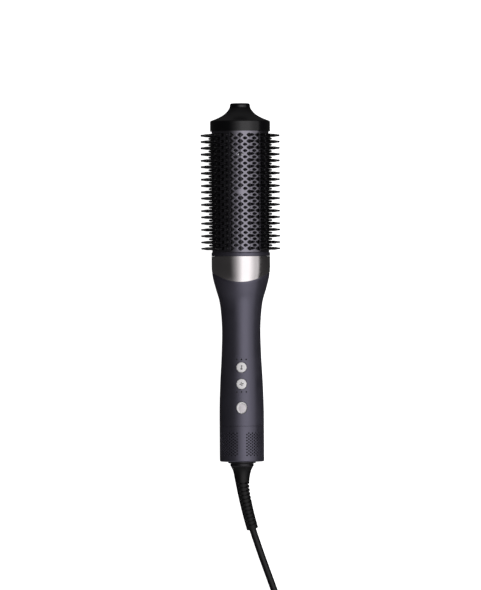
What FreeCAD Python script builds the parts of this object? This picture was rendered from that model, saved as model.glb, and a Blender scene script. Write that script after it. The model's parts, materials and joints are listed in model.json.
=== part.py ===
"""Hot air brush lying on its back: bristled barrel, handle with three buttons, swivel cord and plug.

Every rigid piece of the brush is drawn in the brush frame: +Y runs along the brush from the handle's
flat end (station 0) to the cool tip, +Z is the front, where the buttons are, and +X is the right-hand side.
The finished pieces are then laid down: the brush rests on its bristles and on the rim of its handle,
so its axis slopes a few degrees. The cord's pieces are drawn straight in the row frame, on the floor.
All lengths are in millimetres.
"""
import FreeCAD
import Part

import math
import os

from FreeCAD import Placement, Rotation
from FreeCAD import Vector as V

# Driving dimensions: stations along the axis and radii about it.
SLEEVE_TOP = 32.6            # air inlet sleeve meets the handle shells
SHELL_END = 185.0            # handle shells meet the barrel collar
COLLAR_TOP = 188.8           # barrel stands on the collar
BARREL_END = 302.0           # barrel ends inside the tip's skirt
SKIRT_EDGE = 297.3           # lower edge of the cool tip
TIP_TOP = 322.6              # flat end of the cool tip
HANDLE_R = 20.0              # handle at its lower end
NECK_R = 26.3                # handle at the bright band
BARREL_R = 25.65             # perforated barrel, outside
BARREL_WALL = 0.8
SKIRT_R = 27.0
SHELL_WALL = 1.8
BAND_WALL = 0.8              # bright metal band

# Bristles and the openings that they stand in.
COLUMNS = 18                 # columns of long bristles, and as many of short ones between them
LONG_ROWS = 19
LONG_FIRST = 191.9           # station of the lowest long row
ROW_PITCH = 5.65
LONG_TIP_R = 36.1            # radius of the circle that the long tips lie on
SHORT_TIP_R = 28.5
BALL_R = 0.55
LONG_OPENING = (5.1, 3.2)    # width around the barrel, height along it
SHORT_OPENING = (4.0, 2.4)
BLANK_ROW = 9                # the front column has a plain spot in the middle row
BAR_OUT_R = 24.6             # outside of the strips' bars, just under the barrel's wall
BAR_THICK = 1.1

# Handle outline: (station, radius), a smooth waist between the neck and the lower end.
HANDLE_OUTLINE = [
    (176.5, 26.3), (166.5, 25.4), (155.5, 22.65), (144.5, 19.5), (130.0, 17.8), (116.0, 17.3),
    (94.0, 17.95), (72.0, 19.15), (50.0, 19.9), (32.6, 20.0),
]
BAND_LOW_FRONT = 161.8       # the band's lower edge at the front and back
BAND_LOW_SIDE = 170.6        # and at the sides, where it rises

# Buttons: station, half the width and half the height of the key, and the handle's radius there.
HEAT_KEY = (85.2, 4.55, 4.55, 18.46)
SPEED_KEY = (70.3, 4.55, 4.55, 19.27)
POWER_KEY = (49.0, 4.75, 5.2, 19.9)
KEY_GAP = 0.35
KEY_PROUD = 0.7              # how far a key stands out of the handle
KEY_TRAVEL = 0.8
FLANGE_TOP = 15.2            # height of the keys' retaining flange above the axis
FLANGE_THICK = 1.0
LAMP_ROWS = (92.3, 63.2)     # stations of the two rows of indicator lamps
LAMP_PITCH = 4.3
LAMP_R = 0.55

# Control board, standing on the chassis, across the handle.
BOARD_LOW = 9.0
BOARD_THICK = 1.6
BOARD_HALF = 10.8

SCREW_STATIONS = (41.0, 95.0)  # screws from the back
STANDOFFS = [(x, u) for x in (-6.3, 6.3) for u in (42.0, 97.6)]

# Air inlet perforations.
INLET_COLUMNS = 68
INLET_ROWS = 8
INLET_FIRST = 6.3
INLET_PITCH = 2.65
INLET_HOLE_R = 0.5
INLET_BLANK_DEG = 9.0        # plain strip at the front and at the back, each side of the middle

# Cord and its strain relief.
CORD_R = 3.1
RELIEF_START = -4.6          # station where the strain relief leaves the swivel
RELIEF_NECK = -14.0          # station where it starts to bend
RELIEF_RINGS = 12
RELIEF_PITCH = 3.3
RELIEF_RING = 2.2            # length of one raised ring
COIL_MID_R = 36.0            # the coil is four turns wide and two high
COIL_HALF = 12.6             # half the width of the coil's section
COIL_LIFT = 0.9              # the tie's strap lies under the coil
COIL_TOP = 13.4
TIE_WIDTH = 14.0
PLUG_PIN_R = 2.4
PLUG_PIN_LENGTH = 19.0
PLUG_PIN_SPACING = 19.0
PLUG_LENGTH = 52.0

FRONT = V(0, 0, 1)
AXIS = V(0, 1, 0)
ORIGIN = V(0, 0, 0)


def resting_tilt():
    """Slope of the axis, in radians, and the axis's height at station 0, when the lowest bristle tip and the
    handle's lower rim both touch the floor."""
    rim_fillet, rim_station = 1.2, 1.5
    along = LONG_FIRST - rim_station
    across = (LONG_TIP_R - BALL_R) - (HANDLE_R - rim_fillet)
    drop = BALL_R - rim_fillet
    tilt = math.atan2(across, along) + math.asin(drop / math.hypot(along, across))
    height = (HANDLE_R - rim_fillet) * math.cos(tilt) + rim_fillet - rim_station * math.sin(tilt)
    return tilt, height


TILT, END_HEIGHT = resting_tilt()
MIDDLE = 130.4               # how far the frame's origin lies from the handle's end, along the floor
LAID = Placement(V(0, -MIDDLE, END_HEIGHT), Rotation(V(1, 0, 0), math.degrees(TILT)))


# Small makers of shapes about the brush's axis.

def turned(points):
    """A solid turned about the axis from a closed outline of (radius, station) points."""
    outline = Part.makePolygon([V(r, u, 0) for r, u in points + points[:1]])
    return Part.Face(outline).revolve(ORIGIN, AXIS, 360)


def disc(radius, low, high):
    return Part.makeCylinder(radius, high - low, V(0, low, 0), AXIS)


def ring(inner, outer, low, high):
    return disc(outer, low, high).cut(disc(inner, low - 1, high + 1))


def post(x, u, radius, low, high):
    """A round post square to the axis, standing along +Z."""
    return Part.makeCylinder(radius, high - low, V(x, u, low), FRONT)


def box(x, u, z):
    """A box from its (low, high) ranges."""
    return Part.makeBox(x[1] - x[0], u[1] - u[0], z[1] - z[0], V(x[0], u[0], z[0]))


def about_axis(shape, degrees):
    turned_copy = shape.copy()
    turned_copy.rotate(ORIGIN, AXIS, degrees)
    return turned_copy


def fused(shapes):
    whole = shapes[0]
    if len(shapes) > 1:
        whole = shapes[0].fuse(shapes[1:])
    return whole.removeSplitter()


def solid_of(shape):
    """The one solid that a boolean left inside a compound."""
    return shape.Solids[0] if len(shape.Solids) == 1 else shape


def almond(size, low, high):
    """A pointed oval prism along +Z, size[0] wide and size[1] high."""
    half_w, half_h = size[0] / 2, size[1] / 2
    left, right = V(-half_w, 0, low), V(half_w, 0, low)
    upper = Part.Arc(left, V(0, half_h, low), right).toShape()
    lower = Part.Arc(right, V(0, -half_h, low), left).toShape()
    return Part.Face(Part.Wire([upper, lower])).extrude(V(0, 0, high - low))


def oval(u, half_w, half_h, low, high):
    """A round or slightly tall prism along +Z, for the keys and their openings."""
    shift = half_h - half_w
    if shift < 0.01:
        return post(0, u, half_w, low, high)
    ends = [post(0, u + side * shift, half_w, low, high) for side in (-1, 1)]
    return fused(ends + [box((-half_w, half_w), (u - shift, u + shift), (low, high))])


def long_stations(column):
    """Stations of the long bristles in a column; the front column leaves its middle row out."""
    rows = [i for i in range(LONG_ROWS) if column or i != BLANK_ROW]
    return [LONG_FIRST + ROW_PITCH * i for i in rows]


def short_stations():
    return [LONG_FIRST + ROW_PITCH * (i + 0.5) for i in range(LONG_ROWS - 1)]


# Brush head.

def make_barrel():
    """Metal tube, pierced by staggered almond openings that let the bristles and the hot air out."""
    tube = ring(BARREL_R - BARREL_WALL, BARREL_R, COLLAR_TOP, BARREL_END)
    openings = []
    for column in range(COLUMNS):
        turn = 360.0 / COLUMNS * column
        long_one = almond(LONG_OPENING, BARREL_R - 5, BARREL_R + 3)
        short_one = almond(SHORT_OPENING, BARREL_R - 5, BARREL_R + 3)
        for u in long_stations(column):
            openings.append(about_axis(long_one.translated(V(0, u, 0)), turn))
        for u in short_stations():
            openings.append(about_axis(short_one.translated(V(0, u, 0)), turn + 180.0 / COLUMNS))
    return solid_of(tube.cut(openings))


def bristle(u, root_r, stages):
    """One bristle along +Z: cones between (height, radius) stages, and a ball on the end."""
    parts = []
    height, radius = root_r, stages[0][1]
    for top, next_radius in stages:
        if abs(next_radius - radius) < 1e-6:
            parts.append(Part.makeCylinder(radius, top - height, V(0, u, height), FRONT))
        else:
            parts.append(Part.makeCone(radius, next_radius, top - height, V(0, u, height), FRONT))
        height, radius = top, next_radius
    parts.append(Part.makeSphere(radius, V(0, u, height)))
    return parts


def make_strip(stations, width, stages):
    """A moulded bar behind the barrel's wall with a row of bristles standing on it."""
    low_end, high_end = 189.4, 296.4
    bar = box((-width / 2, width / 2), (low_end, high_end), (BAR_OUT_R - BAR_THICK, BAR_OUT_R - 0.15))
    parts = [bar]
    for u in stations:
        parts += bristle(u, BAR_OUT_R - BAR_THICK / 2, stages)
    return solid_of(fused(parts))


def make_long_strip(column):
    stages = [(BARREL_R + 0.2, 0.95), (BARREL_R + 4.6, 1.2), (LONG_TIP_R - BALL_R, BALL_R)]
    return about_axis(make_strip(long_stations(column), 2.8, stages), 360.0 / COLUMNS * column)


def make_short_strips():
    stages = [(BARREL_R, 0.9), (SHORT_TIP_R - 0.4, 0.4)]
    strip = make_strip(short_stations(), 2.2, stages)
    return Part.makeCompound([about_axis(strip, 360.0 / COLUMNS * (i + 0.5)) for i in range(COLUMNS)])


def make_tip_cap():
    """Cool tip: a skirt over the barrel's end, drawn in by a hollow curve to a flat finger pad."""
    pad_r, pad_edge = 9.0, 1.5
    shoulder = 306.4
    pad_corner = V(pad_r, TIP_TOP - 1.6, 0)
    skirt_corner = V(SKIRT_R - 0.5, shoulder, 0)
    curve = Part.BSplineCurve()
    curve.interpolate([pad_corner, V(10.6, 316.7, 0), V(13.9, 313.0, 0), V(20.0, 309.3, 0), skirt_corner])
    edges = [
        Part.makeLine(V(0, TIP_TOP, 0), V(pad_r - pad_edge, TIP_TOP, 0)),
        Part.Arc(V(pad_r - pad_edge, TIP_TOP, 0), V(pad_r - 0.45, TIP_TOP - 0.45, 0), pad_corner).toShape(),
        curve.toShape(),
        Part.makeLine(skirt_corner, V(SKIRT_R, shoulder - 0.5, 0)),
        Part.makeLine(V(SKIRT_R, shoulder - 0.5, 0), V(SKIRT_R, SKIRT_EDGE, 0)),
        Part.makeLine(V(SKIRT_R, SKIRT_EDGE, 0), V(0, SKIRT_EDGE, 0)),
        Part.makeLine(V(0, SKIRT_EDGE, 0), V(0, TIP_TOP, 0)),
    ]
    outside = Part.Face(Part.Wire(edges)).revolve(ORIGIN, AXIS, 360)
    hollow = turned([(0, SKIRT_EDGE - 1), (BARREL_R + 0.1, SKIRT_EDGE - 1), (BARREL_R + 0.1, BARREL_END + 0.2),
                     (20.0, BARREL_END + 2.5), (9.0, 312.0), (7.0, 319.0), (0, 319.0)])
    boss = ring(1.55, 3.6, BARREL_END + 0.3, 319.5)
    return solid_of(fused([outside.cut(hollow), boss]))


def make_tip_carrier():
    """Plug in the barrel's end that holds the strips' bars and takes the tip's screw."""
    plate = ring(1.7, BARREL_R - BARREL_WALL - 0.1, 296.6, BARREL_END)
    lip = ring(21.4, BAR_OUT_R - BAR_THICK - 0.3, 291.0, 296.6)
    return solid_of(fused([plate, lip]))


def make_tip_screw():
    shank = disc(1.45, 294.0, 314.0)
    head = disc(3.0, 294.4, 296.5).cut(box((-2.2, 2.2), (294.0, 295.2), (-0.4, 0.4)))
    return solid_of(fused([shank.cut(disc(2.0, 293.0, 295.2)), head]))


def make_collar():
    """Socket between handle and barrel: a dark ring outside, and a lip that the strips' bars clip onto."""
    rim = turned([(20.6, SHELL_END + 0.2), (NECK_R, SHELL_END + 0.2), (NECK_R, COLLAR_TOP - 0.9),
                  (NECK_R - 0.6, COLLAR_TOP), (20.6, COLLAR_TOP)])
    spigot = ring(20.6, 23.4, 177.0, SHELL_END + 0.3)
    lip = ring(20.6, BAR_OUT_R - BAR_THICK - 0.3, COLLAR_TOP - 0.1, 194.0)
    return solid_of(fused([rim, spigot, lip]))


# Heater, inside the neck and the barrel.

HEATER_LOW, HEATER_HIGH = 198.0, 272.0


def make_heater_core():
    """Two slotted mica plates that cross on the axis and carry the winding."""
    plates = [box((-16.8, 16.8), (HEATER_LOW, HEATER_HIGH), (-0.4, 0.4)),
              box((-0.4, 0.4), (HEATER_LOW, HEATER_HIGH), (-16.8, 16.8))]
    for low in (HEATER_LOW, HEATER_HIGH - 3.0):
        plates.append(box((-18.2, 18.2), (low, low + 3.0), (-0.4, 0.4)))
    return solid_of(fused(plates))


def make_heater_winding():
    turns = []
    for i in range(14):
        turns.append(Part.makeTorus(17.35, 0.4, V(0, HEATER_LOW + 4 + 5 * i, 0), AXIS))
    return Part.makeCompound(turns)


def make_heater_sleeve():
    return ring(18.3, 18.8, HEATER_LOW - 4, HEATER_HIGH + 4)


def make_thermal_fuse():
    body = Part.makeCylinder(1.8, 10, V(6, HEATER_HIGH + 1.5, 6), AXIS)
    leads = Part.makeCylinder(0.4, 12.5, V(6, HEATER_HIGH - 0.5, 6), AXIS)
    return solid_of(fused([body, leads]))


def make_heat_shield():
    """Spun duct that leads the air from the fan to the heater and centres the heater's sleeve."""
    outside = [(14.7, 142.0), (14.7, 146.0), (18.0, 158.0), (20.2, 168.0), (20.2, 199.0)]
    inside = [(r - 0.8, u) for r, u in reversed(outside)]
    return turned(outside + inside)


def make_air_spreader():
    """Cone beyond the heater that turns the air out through the barrel."""
    cone = turned([(0, 280.0), (0.8, 280.0), (15.0, 291.0), (15.0, 292.2), (0, 292.2)])
    arms = [about_axis(box((-1.5, 1.5), (291.0, 292.2), (14.0, 21.3)), 120 * i) for i in range(3)]
    return solid_of(fused([cone] + arms))


# Handle.

def handle_solid(inward):
    """The handle's outline, moved inward, turned to a solid from the sleeve to the collar."""
    top = Part.makeLine(V(0, SHELL_END, 0), V(NECK_R - inward, SHELL_END, 0))
    neck = Part.makeLine(V(NECK_R - inward, SHELL_END, 0), V(HANDLE_OUTLINE[0][1] - inward, HANDLE_OUTLINE[0][0], 0))
    curve = Part.BSplineCurve()
    points = [V(r - inward, u, 0) for u, r in HANDLE_OUTLINE]
    curve.interpolate(Points=points, InitialTangent=V(0, -1, 0), FinalTangent=V(0, -1, 0))
    base = Part.makeLine(V(HANDLE_R - inward, SLEEVE_TOP, 0), V(0, SLEEVE_TOP, 0))
    back = Part.makeLine(V(0, SLEEVE_TOP, 0), V(0, SHELL_END, 0))
    face = Part.Face(Part.Wire([top, neck, curve.toShape(), base, back]))
    return face.revolve(ORIGIN, AXIS, 360)


def band_zone():
    """Everything above the band's lower edge, which dips at the front and the back and rises at the sides."""
    half = NECK_R + 2
    rise = (BAND_LOW_SIDE - BAND_LOW_FRONT) / NECK_R ** 2
    sides = BAND_LOW_FRONT + rise * half ** 2
    # A quadratic Bezier is exactly this parabola: its middle pole lies as far below as the ends lie above.
    edge = Part.BezierCurve()
    edge.setPoles([V(-half, sides, -half), V(0, 2 * BAND_LOW_FRONT - sides, -half), V(half, sides, -half)])
    top = SHELL_END + 5
    lines = [Part.makeLine(V(half, sides, -half), V(half, top, -half)),
             Part.makeLine(V(half, top, -half), V(-half, top, -half)),
             Part.makeLine(V(-half, top, -half), V(-half, sides, -half))]
    return Part.Face(Part.Wire([edge.toShape()] + lines)).extrude(V(0, 0, 2 * half))


def make_band(zone):
    """Bright metal sleeve let into the handle's neck, flush with it."""
    layer = handle_solid(0).cut(handle_solid(BAND_WALL))
    return solid_of(layer.common(zone))


def make_shells(zone):
    """Front and rear halves of the handle, stepped for the band, with openings for keys, lamps and screws."""
    layer = handle_solid(0).cut(handle_solid(BAND_WALL)).common(zone)
    shell = handle_solid(0).cut(handle_solid(SHELL_WALL)).cut(layer)
    half = NECK_R + 3
    front_half = box((-half, half), (0, SHELL_END + 1), (0, half))
    rear_half = box((-half, half), (0, SHELL_END + 1), (-half, 0))
    openings = []
    for u, half_w, half_h, surface in (HEAT_KEY, SPEED_KEY, POWER_KEY):
        openings.append(oval(u, half_w + KEY_GAP, half_h + KEY_GAP, 5, half))
    for u in LAMP_ROWS:
        for x in (-LAMP_PITCH, 0, LAMP_PITCH):
            openings.append(post(x, u, LAMP_R + 0.05, 5, half))
    front = shell.common(front_half).cut(openings)
    rear = shell.common(rear_half)
    screw_wells = []
    for u in SCREW_STATIONS:
        rear = rear.fuse(post(0, u, 3.6, -20.0, -8.3).common(handle_solid(0.5)))
        screw_wells += [post(0, u, 2.6, -half, -13.0), post(0, u, 1.5, -half, 0)]
    return solid_of(front), solid_of(rear.cut(screw_wells).removeSplitter())


def make_shell_screws():
    screws = []
    for u in SCREW_STATIONS:
        head = post(0, u, 2.4, -15.0, -13.0).cut(box((-0.4, 0.4), (u - 2.6, u + 2.6), (-15.1, -14.2)))
        screws.append(solid_of(fused([head, post(0, u, 1.25, -13.1, -3.2)])))
    return Part.makeCompound(screws)


def make_chassis():
    """Inner spine that the shells screw to: a tray, four posts for the control board and a seat for the fan."""
    tray = box((-7.5, 7.5), (36.0, 102.0), (-8.0, -6.4))
    posts = [box((x - 1.2, x + 1.2), (u - 1.5, u + 1.5), (-6.5, BOARD_LOW - 0.05)) for x, u in STANDOFFS]
    bosses = [post(0, u, 2.6, -8.1, -3.0) for u in SCREW_STATIONS]
    seat = ring(13.0, 15.2, 100.0, 103.0)
    web = box((-7.5, 7.5), (99.6, 102.0), (-13.6, -6.5))
    foot = ring(14.2, 17.9, SLEEVE_TOP + 0.8, SLEEVE_TOP + 4.4)
    foot_web = box((-7.5, 7.5), (34.0, 37.0), (-15.5, -6.5)).fuse(box((-7.5, 7.5), (34.0, 36.5), (-8.0, -6.4)))
    legs = []
    for degrees in (45, 135, 225, 315):
        legs.append(about_axis(box((-1.5, 1.5), (5.0, SLEEVE_TOP + 1.5), (14.3, 16.2)), degrees))
    base = ring(12.6, 16.2, 2.2, 5.2)
    bored = [post(0, u, 1.3, -9.0, -2.0) for u in SCREW_STATIONS]
    whole = fused([tray, seat, web, foot, foot_web, base] + posts + bosses + legs)
    return solid_of(whole.cut(bored))


def make_key(key):
    """A push button: a slightly domed head and a flange that keeps it behind the shell."""
    u, half_w, half_h, surface = key
    top = surface + KEY_PROUD
    head = oval(u, half_w, half_h, FLANGE_TOP - 0.2, top)
    dome = Part.makeSphere(38.0, V(0, u, top - 38.0))
    head = head.common(dome)
    flange = oval(u, half_w + 0.9, half_h + 0.9, FLANGE_TOP - FLANGE_THICK, FLANGE_TOP)
    return solid_of(fused([head, flange]))


def make_key_mat():
    """Silicone mat under the keys, with a plunger over each switch."""
    low = BOARD_LOW + BOARD_THICK + 1.7
    high = FLANGE_TOP - FLANGE_THICK - KEY_TRAVEL - 0.15
    mat = box((-7.5, 7.5), (42.0, 91.0), (low, high))
    return solid_of(mat.cut([post(x, LAMP_ROWS[1], 0.8, 5, 20) for x in (-LAMP_PITCH, 0, LAMP_PITCH)]))


def make_lamp_lenses():
    lenses = []
    for u, surface in zip(LAMP_ROWS, (18.0, 19.45)):
        for x in (-LAMP_PITCH, 0, LAMP_PITCH):
            height = math.sqrt(surface ** 2 - x ** 2)
            lenses.append(post(x, u, LAMP_R, BOARD_LOW + BOARD_THICK + 0.2, height))
    return Part.makeCompound(lenses)


def make_board():
    board = box((-BOARD_HALF, BOARD_HALF), (39.0, 99.8), (BOARD_LOW, BOARD_LOW + BOARD_THICK))
    return solid_of(board.cut([post(x, u, 0.8, 5, 15) for x, u in STANDOFFS]))


def make_board_parts():
    """A switch under each key, and below the board a filter capacitor, a choke and a cooling plate."""
    switches = []
    top = BOARD_LOW + BOARD_THICK
    for key in (HEAT_KEY, SPEED_KEY, POWER_KEY):
        body = box((-3.0, 3.0), (key[0] - 3.0, key[0] + 3.0), (top + 0.02, top + 1.2))
        switches.append(solid_of(fused([body, post(0, key[0], 1.5, top + 1.1, top + 1.6)])))
    capacitor = Part.makeCylinder(4.0, 16.0, V(-4.6, 44.0, BOARD_LOW - 4.05), AXIS)
    choke = Part.makeTorus(3.4, 1.7, V(4.6, 52.0, BOARD_LOW - 1.75), FRONT)
    plate = box((-6.5, 6.5), (76.0, 88.0), (BOARD_LOW - 3.0, BOARD_LOW - 0.05))
    return Part.makeCompound(switches + [capacitor, choke, plate])


# Fan and motor, in the waist of the handle.

def make_fan_housing():
    tube = ring(13.7, 14.5, 103.2, 142.0)
    seat = ring(9.15, 10.2, 105.0, 122.0)
    spokes = [about_axis(box((-0.5, 0.5), (108.0, 120.0), (10.0, 13.9)), 60 * i) for i in range(6)]
    return solid_of(fused([tube, seat] + spokes))


def make_fan_cushion():
    """Rubber sleeve that keeps the fan's hum out of the handle."""
    return turned([(14.55, 106.0), (15.3, 106.0), (15.3, 109.0), (14.9, 110.0), (14.9, 121.0),
                   (15.3, 122.0), (15.3, 125.0), (14.55, 125.0)])


def make_motor_can():
    can = ring(8.3, 9.1, 104.4, 122.6)
    caps = [ring(1.05, 9.1, low, low + 0.9) for low in (103.6, 122.5)]
    bearings = [ring(1.05, 2.6, low, low + 2.0) for low in (103.4, 121.6)]
    return solid_of(fused([can] + caps + bearings))


def make_rotor():
    """Motor shaft with its magnet."""
    return solid_of(fused([disc(1.0, 102.4, 133.5), disc(6.2, 107.0, 119.5)]))


def make_impeller():
    """Fan wheel with nine twisted blades on the motor's shaft."""
    hub = ring(1.0, 6.0, 126.0, 134.0)
    cap = turned([(1.0, 133.9), (6.0, 133.9), (3.5, 136.4), (1.0, 136.4)])
    blades = []
    for i in range(9):
        blade = box((-0.45, 0.45), (125.6, 134.4), (5.6, 13.2))
        blade.rotate(V(0, 130.0, 0), FRONT, 35)
        blades.append(about_axis(blade, 40 * i))
    return solid_of(fused([hub, cap] + blades).common(disc(13.3, 120, 140)))


def make_power_leads():
    """Two short leads from the cord's entry to the board."""
    leads = []
    for x in (-3.0, 3.0):
        leads.append(bent_tube([V(x, 14.5, 0), V(x, 22.0, 0.6), V(x, 31.0, 5.0), V(x, 40.0, 7.8)], 0.85))
    return Part.makeCompound(leads)


# Air inlet at the handle's lower end.

def make_inlet_sleeve():
    """Perforated sleeve over the intake; it turns on its bayonet and comes off for cleaning."""
    wall = 1.3
    outline = [(HANDLE_R - wall, 1.6), (15.6, 1.6), (15.6, 0.3), (HANDLE_R - 1.2, 0.3)]
    edges = [Part.makeLine(V(*a, 0), V(*b, 0)) for a, b in zip(outline, outline[1:])]
    fillet = 1.2
    low = V(HANDLE_R - fillet, 0.3, 0)
    mid = V(HANDLE_R - fillet * (1 - math.sqrt(0.5)), 0.3 + fillet * (1 - math.sqrt(0.5)), 0)
    high = V(HANDLE_R, 0.3 + fillet, 0)
    top = SLEEVE_TOP - 0.35
    edges += [Part.Arc(low, mid, high).toShape(), Part.makeLine(high, V(HANDLE_R, top, 0)),
              Part.makeLine(V(HANDLE_R, top, 0), V(HANDLE_R - wall, top, 0)),
              Part.makeLine(V(HANDLE_R - wall, top, 0), V(HANDLE_R - wall, 1.6, 0))]
    sleeve = Part.Face(Part.Wire(edges)).revolve(ORIGIN, AXIS, 360)
    holes = []
    for column in range(INLET_COLUMNS):
        degrees = 360.0 / INLET_COLUMNS * (column + 0.5)
        from_middle = min(degrees % 180, 180 - degrees % 180)
        if from_middle < INLET_BLANK_DEG:
            continue
        for row in range(INLET_ROWS):
            u = INLET_FIRST + INLET_PITCH * (row + 0.5 * (column % 2))
            holes.append(about_axis(post(0, u, INLET_HOLE_R, HANDLE_R - 3, HANDLE_R + 1), degrees))
    return solid_of(sleeve.cut(holes))


def make_filter_screen():
    return ring(17.3, 17.7, 3.0, 30.5)


def make_end_cap():
    """Fixed plate across the handle's end, with a boss that the cord's swivel turns in."""
    plate = ring(8.7, 15.2, 0.3, 2.1)
    flange = ring(8.7, 12.4, -1.2, 0.4)
    boss = ring(8.7, 10.8, 2.0, 9.0)
    return solid_of(fused([plate, flange, boss]))


# Swivel, cord and plug.

def make_swivel_hub():
    """Collar outside the handle and a spigot inside it, which turn together in the end cap."""
    outline = [(3.2, RELIEF_START), (9.9, RELIEF_START), (10.5, RELIEF_START + 0.6), (10.5, -1.5), (8.4, -1.5),
               (8.4, 9.3), (7.3, 9.3), (7.3, 10.7), (8.4, 10.7), (8.4, 12.6), (3.2, 12.6)]
    return turned(outline)


def make_swivel_clip():
    """Spring ring in the hub's groove; it bears on the boss and keeps the hub in."""
    whole = ring(7.4, 10.2, 9.4, 10.6)
    return solid_of(whole.cut(box((-2.2, 2.2), (9, 11), (0, 12))))


def floor_point(x, below, z):
    """A point in the row frame: to the right, below the handle's end along the floor, and above the floor."""
    return V(x, -MIDDLE - below, z)


def relief_line():
    """Centre line of the bending part of the strain relief: it turns right and sinks towards the floor."""
    return [LAID.multVec(V(0, RELIEF_NECK, 0)), floor_point(0.45, 20.5, 17.95),
            floor_point(1.5, 28.0, 16.75), floor_point(3.4, 37.5, 14.75),
            floor_point(5.9, 48.0, 12.1), floor_point(9.1, 59.8, 9.2)]


def make_strain_relief():
    """Tapered rubber sleeve: a flared foot, then a core with raised rings that let it bend."""
    line = Part.BSplineCurve()
    line.interpolate(relief_line())
    length = line.length()
    slope = LAID.Rotation.multVec(AXIS)
    foot = [(RELIEF_START, 9.8), (RELIEF_START - 1.4, 9.0), (-7.2, 8.3), (-9.0, 7.8), (-11.5, 7.3)]
    circles = [Part.Wire([Part.makeCircle(r, LAID.multVec(V(0, u, 0)), slope * -1)]) for u, r in foot]
    stages = [(0.0, 6.95)]
    for i in range(RELIEF_RINGS):
        middle = 5.6 + RELIEF_PITCH * i
        outer = 6.35 - 1.25 * middle / length
        core = outer - 0.55
        stages += [(middle - RELIEF_RING / 2, core), (middle - RELIEF_RING / 2 + 0.2, outer),
                   (middle + RELIEF_RING / 2 - 0.2, outer), (middle + RELIEF_RING / 2, core)]
    stages.append((length, stages[-1][1]))
    circles += [circle_on(line, along, radius) for along, radius in stages]
    return Part.makeLoft(circles, True, True)


def point_on(line, along):
    at = line.parameterAtDistance(along, line.FirstParameter)
    return line.value(at), line.tangent(at)[0]


def circle_on(line, along, radius):
    centre, way = point_on(line, min(along, line.length()))
    return Part.Wire([Part.makeCircle(radius, centre, way)])


def tube_path(points, report=None):
    """Straight runs joined by arcs as large as the shorter of their two runs allows."""
    edges, place, radii = [], points[0], []
    for before, corner, after in zip(points, points[1:], points[2:]):
        back, ahead = before - corner, after - corner
        shorter = min(back.Length, ahead.Length)
        turn = math.pi - back.getAngle(ahead)
        reach = 0.45 * shorter
        radii.append(reach / math.tan(turn / 2))
        start = corner + back * (reach / back.Length)
        end = corner + ahead * (reach / ahead.Length)
        inward = back * (1 / back.Length) + ahead * (1 / ahead.Length)
        depth = radii[-1] * (1 / math.cos(turn / 2) - 1)
        middle = corner + inward * (depth / inward.Length)
        edges += [Part.LineSegment(place, start).toShape(), Part.Arc(start, middle, end).toShape()]
        place = end
    edges.append(Part.LineSegment(place, points[-1]).toShape())
    if report:
        print(report, "bend radii:", [round(r, 1) for r in radii])
    return Part.Wire(edges)


def bent_tube(points, radius, report=None):
    path = tube_path(points, report)
    section = Part.Wire([Part.makeCircle(radius, points[0], points[1] - points[0])])
    tube = path.makePipeShell([section], True, False)
    exact = math.pi * radius ** 2 * path.Length
    if report:
        print(report, f"length {path.Length:.1f}, volume {tube.Volume:.1f}, section times length {exact:.1f}")
    return tube


# The coil lies in line with the brush; the cord runs into it on its right-hand side.
COIL_X, COIL_BELOW = -2.0, 170.0
CORD_ROUTE = [
    relief_line()[-1], floor_point(14.4, 76.0, 5.7), floor_point(21.5, 96.0, 3.5), floor_point(28.7, 116.0, 3.1),
    floor_point(35.3, 135.5, 3.3), floor_point(40.0, 152.0, 4.0),
]
TAIL_ROUTE = [
    floor_point(39.2, 189.2, 10.3), floor_point(32.2, 205.0, 8.2), floor_point(24.4, 222.5, 6.8),
    floor_point(18.4, 240.5, 7.6), floor_point(16.0, 258.0, 10.0),
]
PLUG_PLACE = TAIL_ROUTE[-1]


def make_coil():
    """Outer shape of the wound cord: a thick flat ring with rounded edges."""
    centre = floor_point(COIL_X, COIL_BELOW, 0)
    inner, outer = COIL_MID_R - COIL_HALF, COIL_MID_R + COIL_HALF
    whole = Part.makeCylinder(outer, COIL_TOP - COIL_LIFT, centre + V(0, 0, COIL_LIFT))
    whole = whole.cut(Part.makeCylinder(inner, COIL_TOP + 2, centre))
    return solid_of(whole.makeFillet(2.8, [e for e in whole.Edges if e.Curve.TypeId == "Part::GeomCircle"]))


def make_tie():
    """Hook-and-loop strap round the coil on its left-hand side."""
    strap = 0.75
    x = COIL_X - COIL_MID_R
    half = COIL_HALF + 0.15
    low = V(x - half - strap, -MIDDLE - COIL_BELOW - TIE_WIDTH / 2, 0)
    outside = Part.makeBox(2 * (half + strap), TIE_WIDTH, COIL_TOP + 1.0, low)
    inside = Part.makeBox(2 * half, TIE_WIDTH + 2, COIL_TOP + 0.25 - strap, low + V(strap, -1, strap))
    return solid_of(outside.makeFillet(2.4, [e for e in outside.Edges if abs(e.Length - TIE_WIDTH) < 0.1]).cut(
        inside.makeFillet(1.8, [e for e in inside.Edges if abs(e.Length - TIE_WIDTH - 2) < 0.1])))


def ellipse_at(below, half_w, half_h):
    place = PLUG_PLACE - V(0, below, 0)
    curve = Part.Ellipse(place, half_w, half_h)
    wire = Part.Wire([curve.toShape()])
    wire.rotate(place, V(1, 0, 0), 90)
    return wire


def make_plug():
    """Moulded two-pin plug: a round tail, a waisted grip and a flat contoured face."""
    sections = [(0, 4.4, 4.39), (12.0, 5.0, 4.99), (20.0, 7.6, 6.4), (28.0, 13.2, 8.2), (36.0, 15.6, 8.9),
                (44.0, 17.4, 9.7), (PLUG_LENGTH, 17.8, 9.8)]
    return Part.makeLoft([ellipse_at(*s) for s in sections], True, False)


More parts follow.
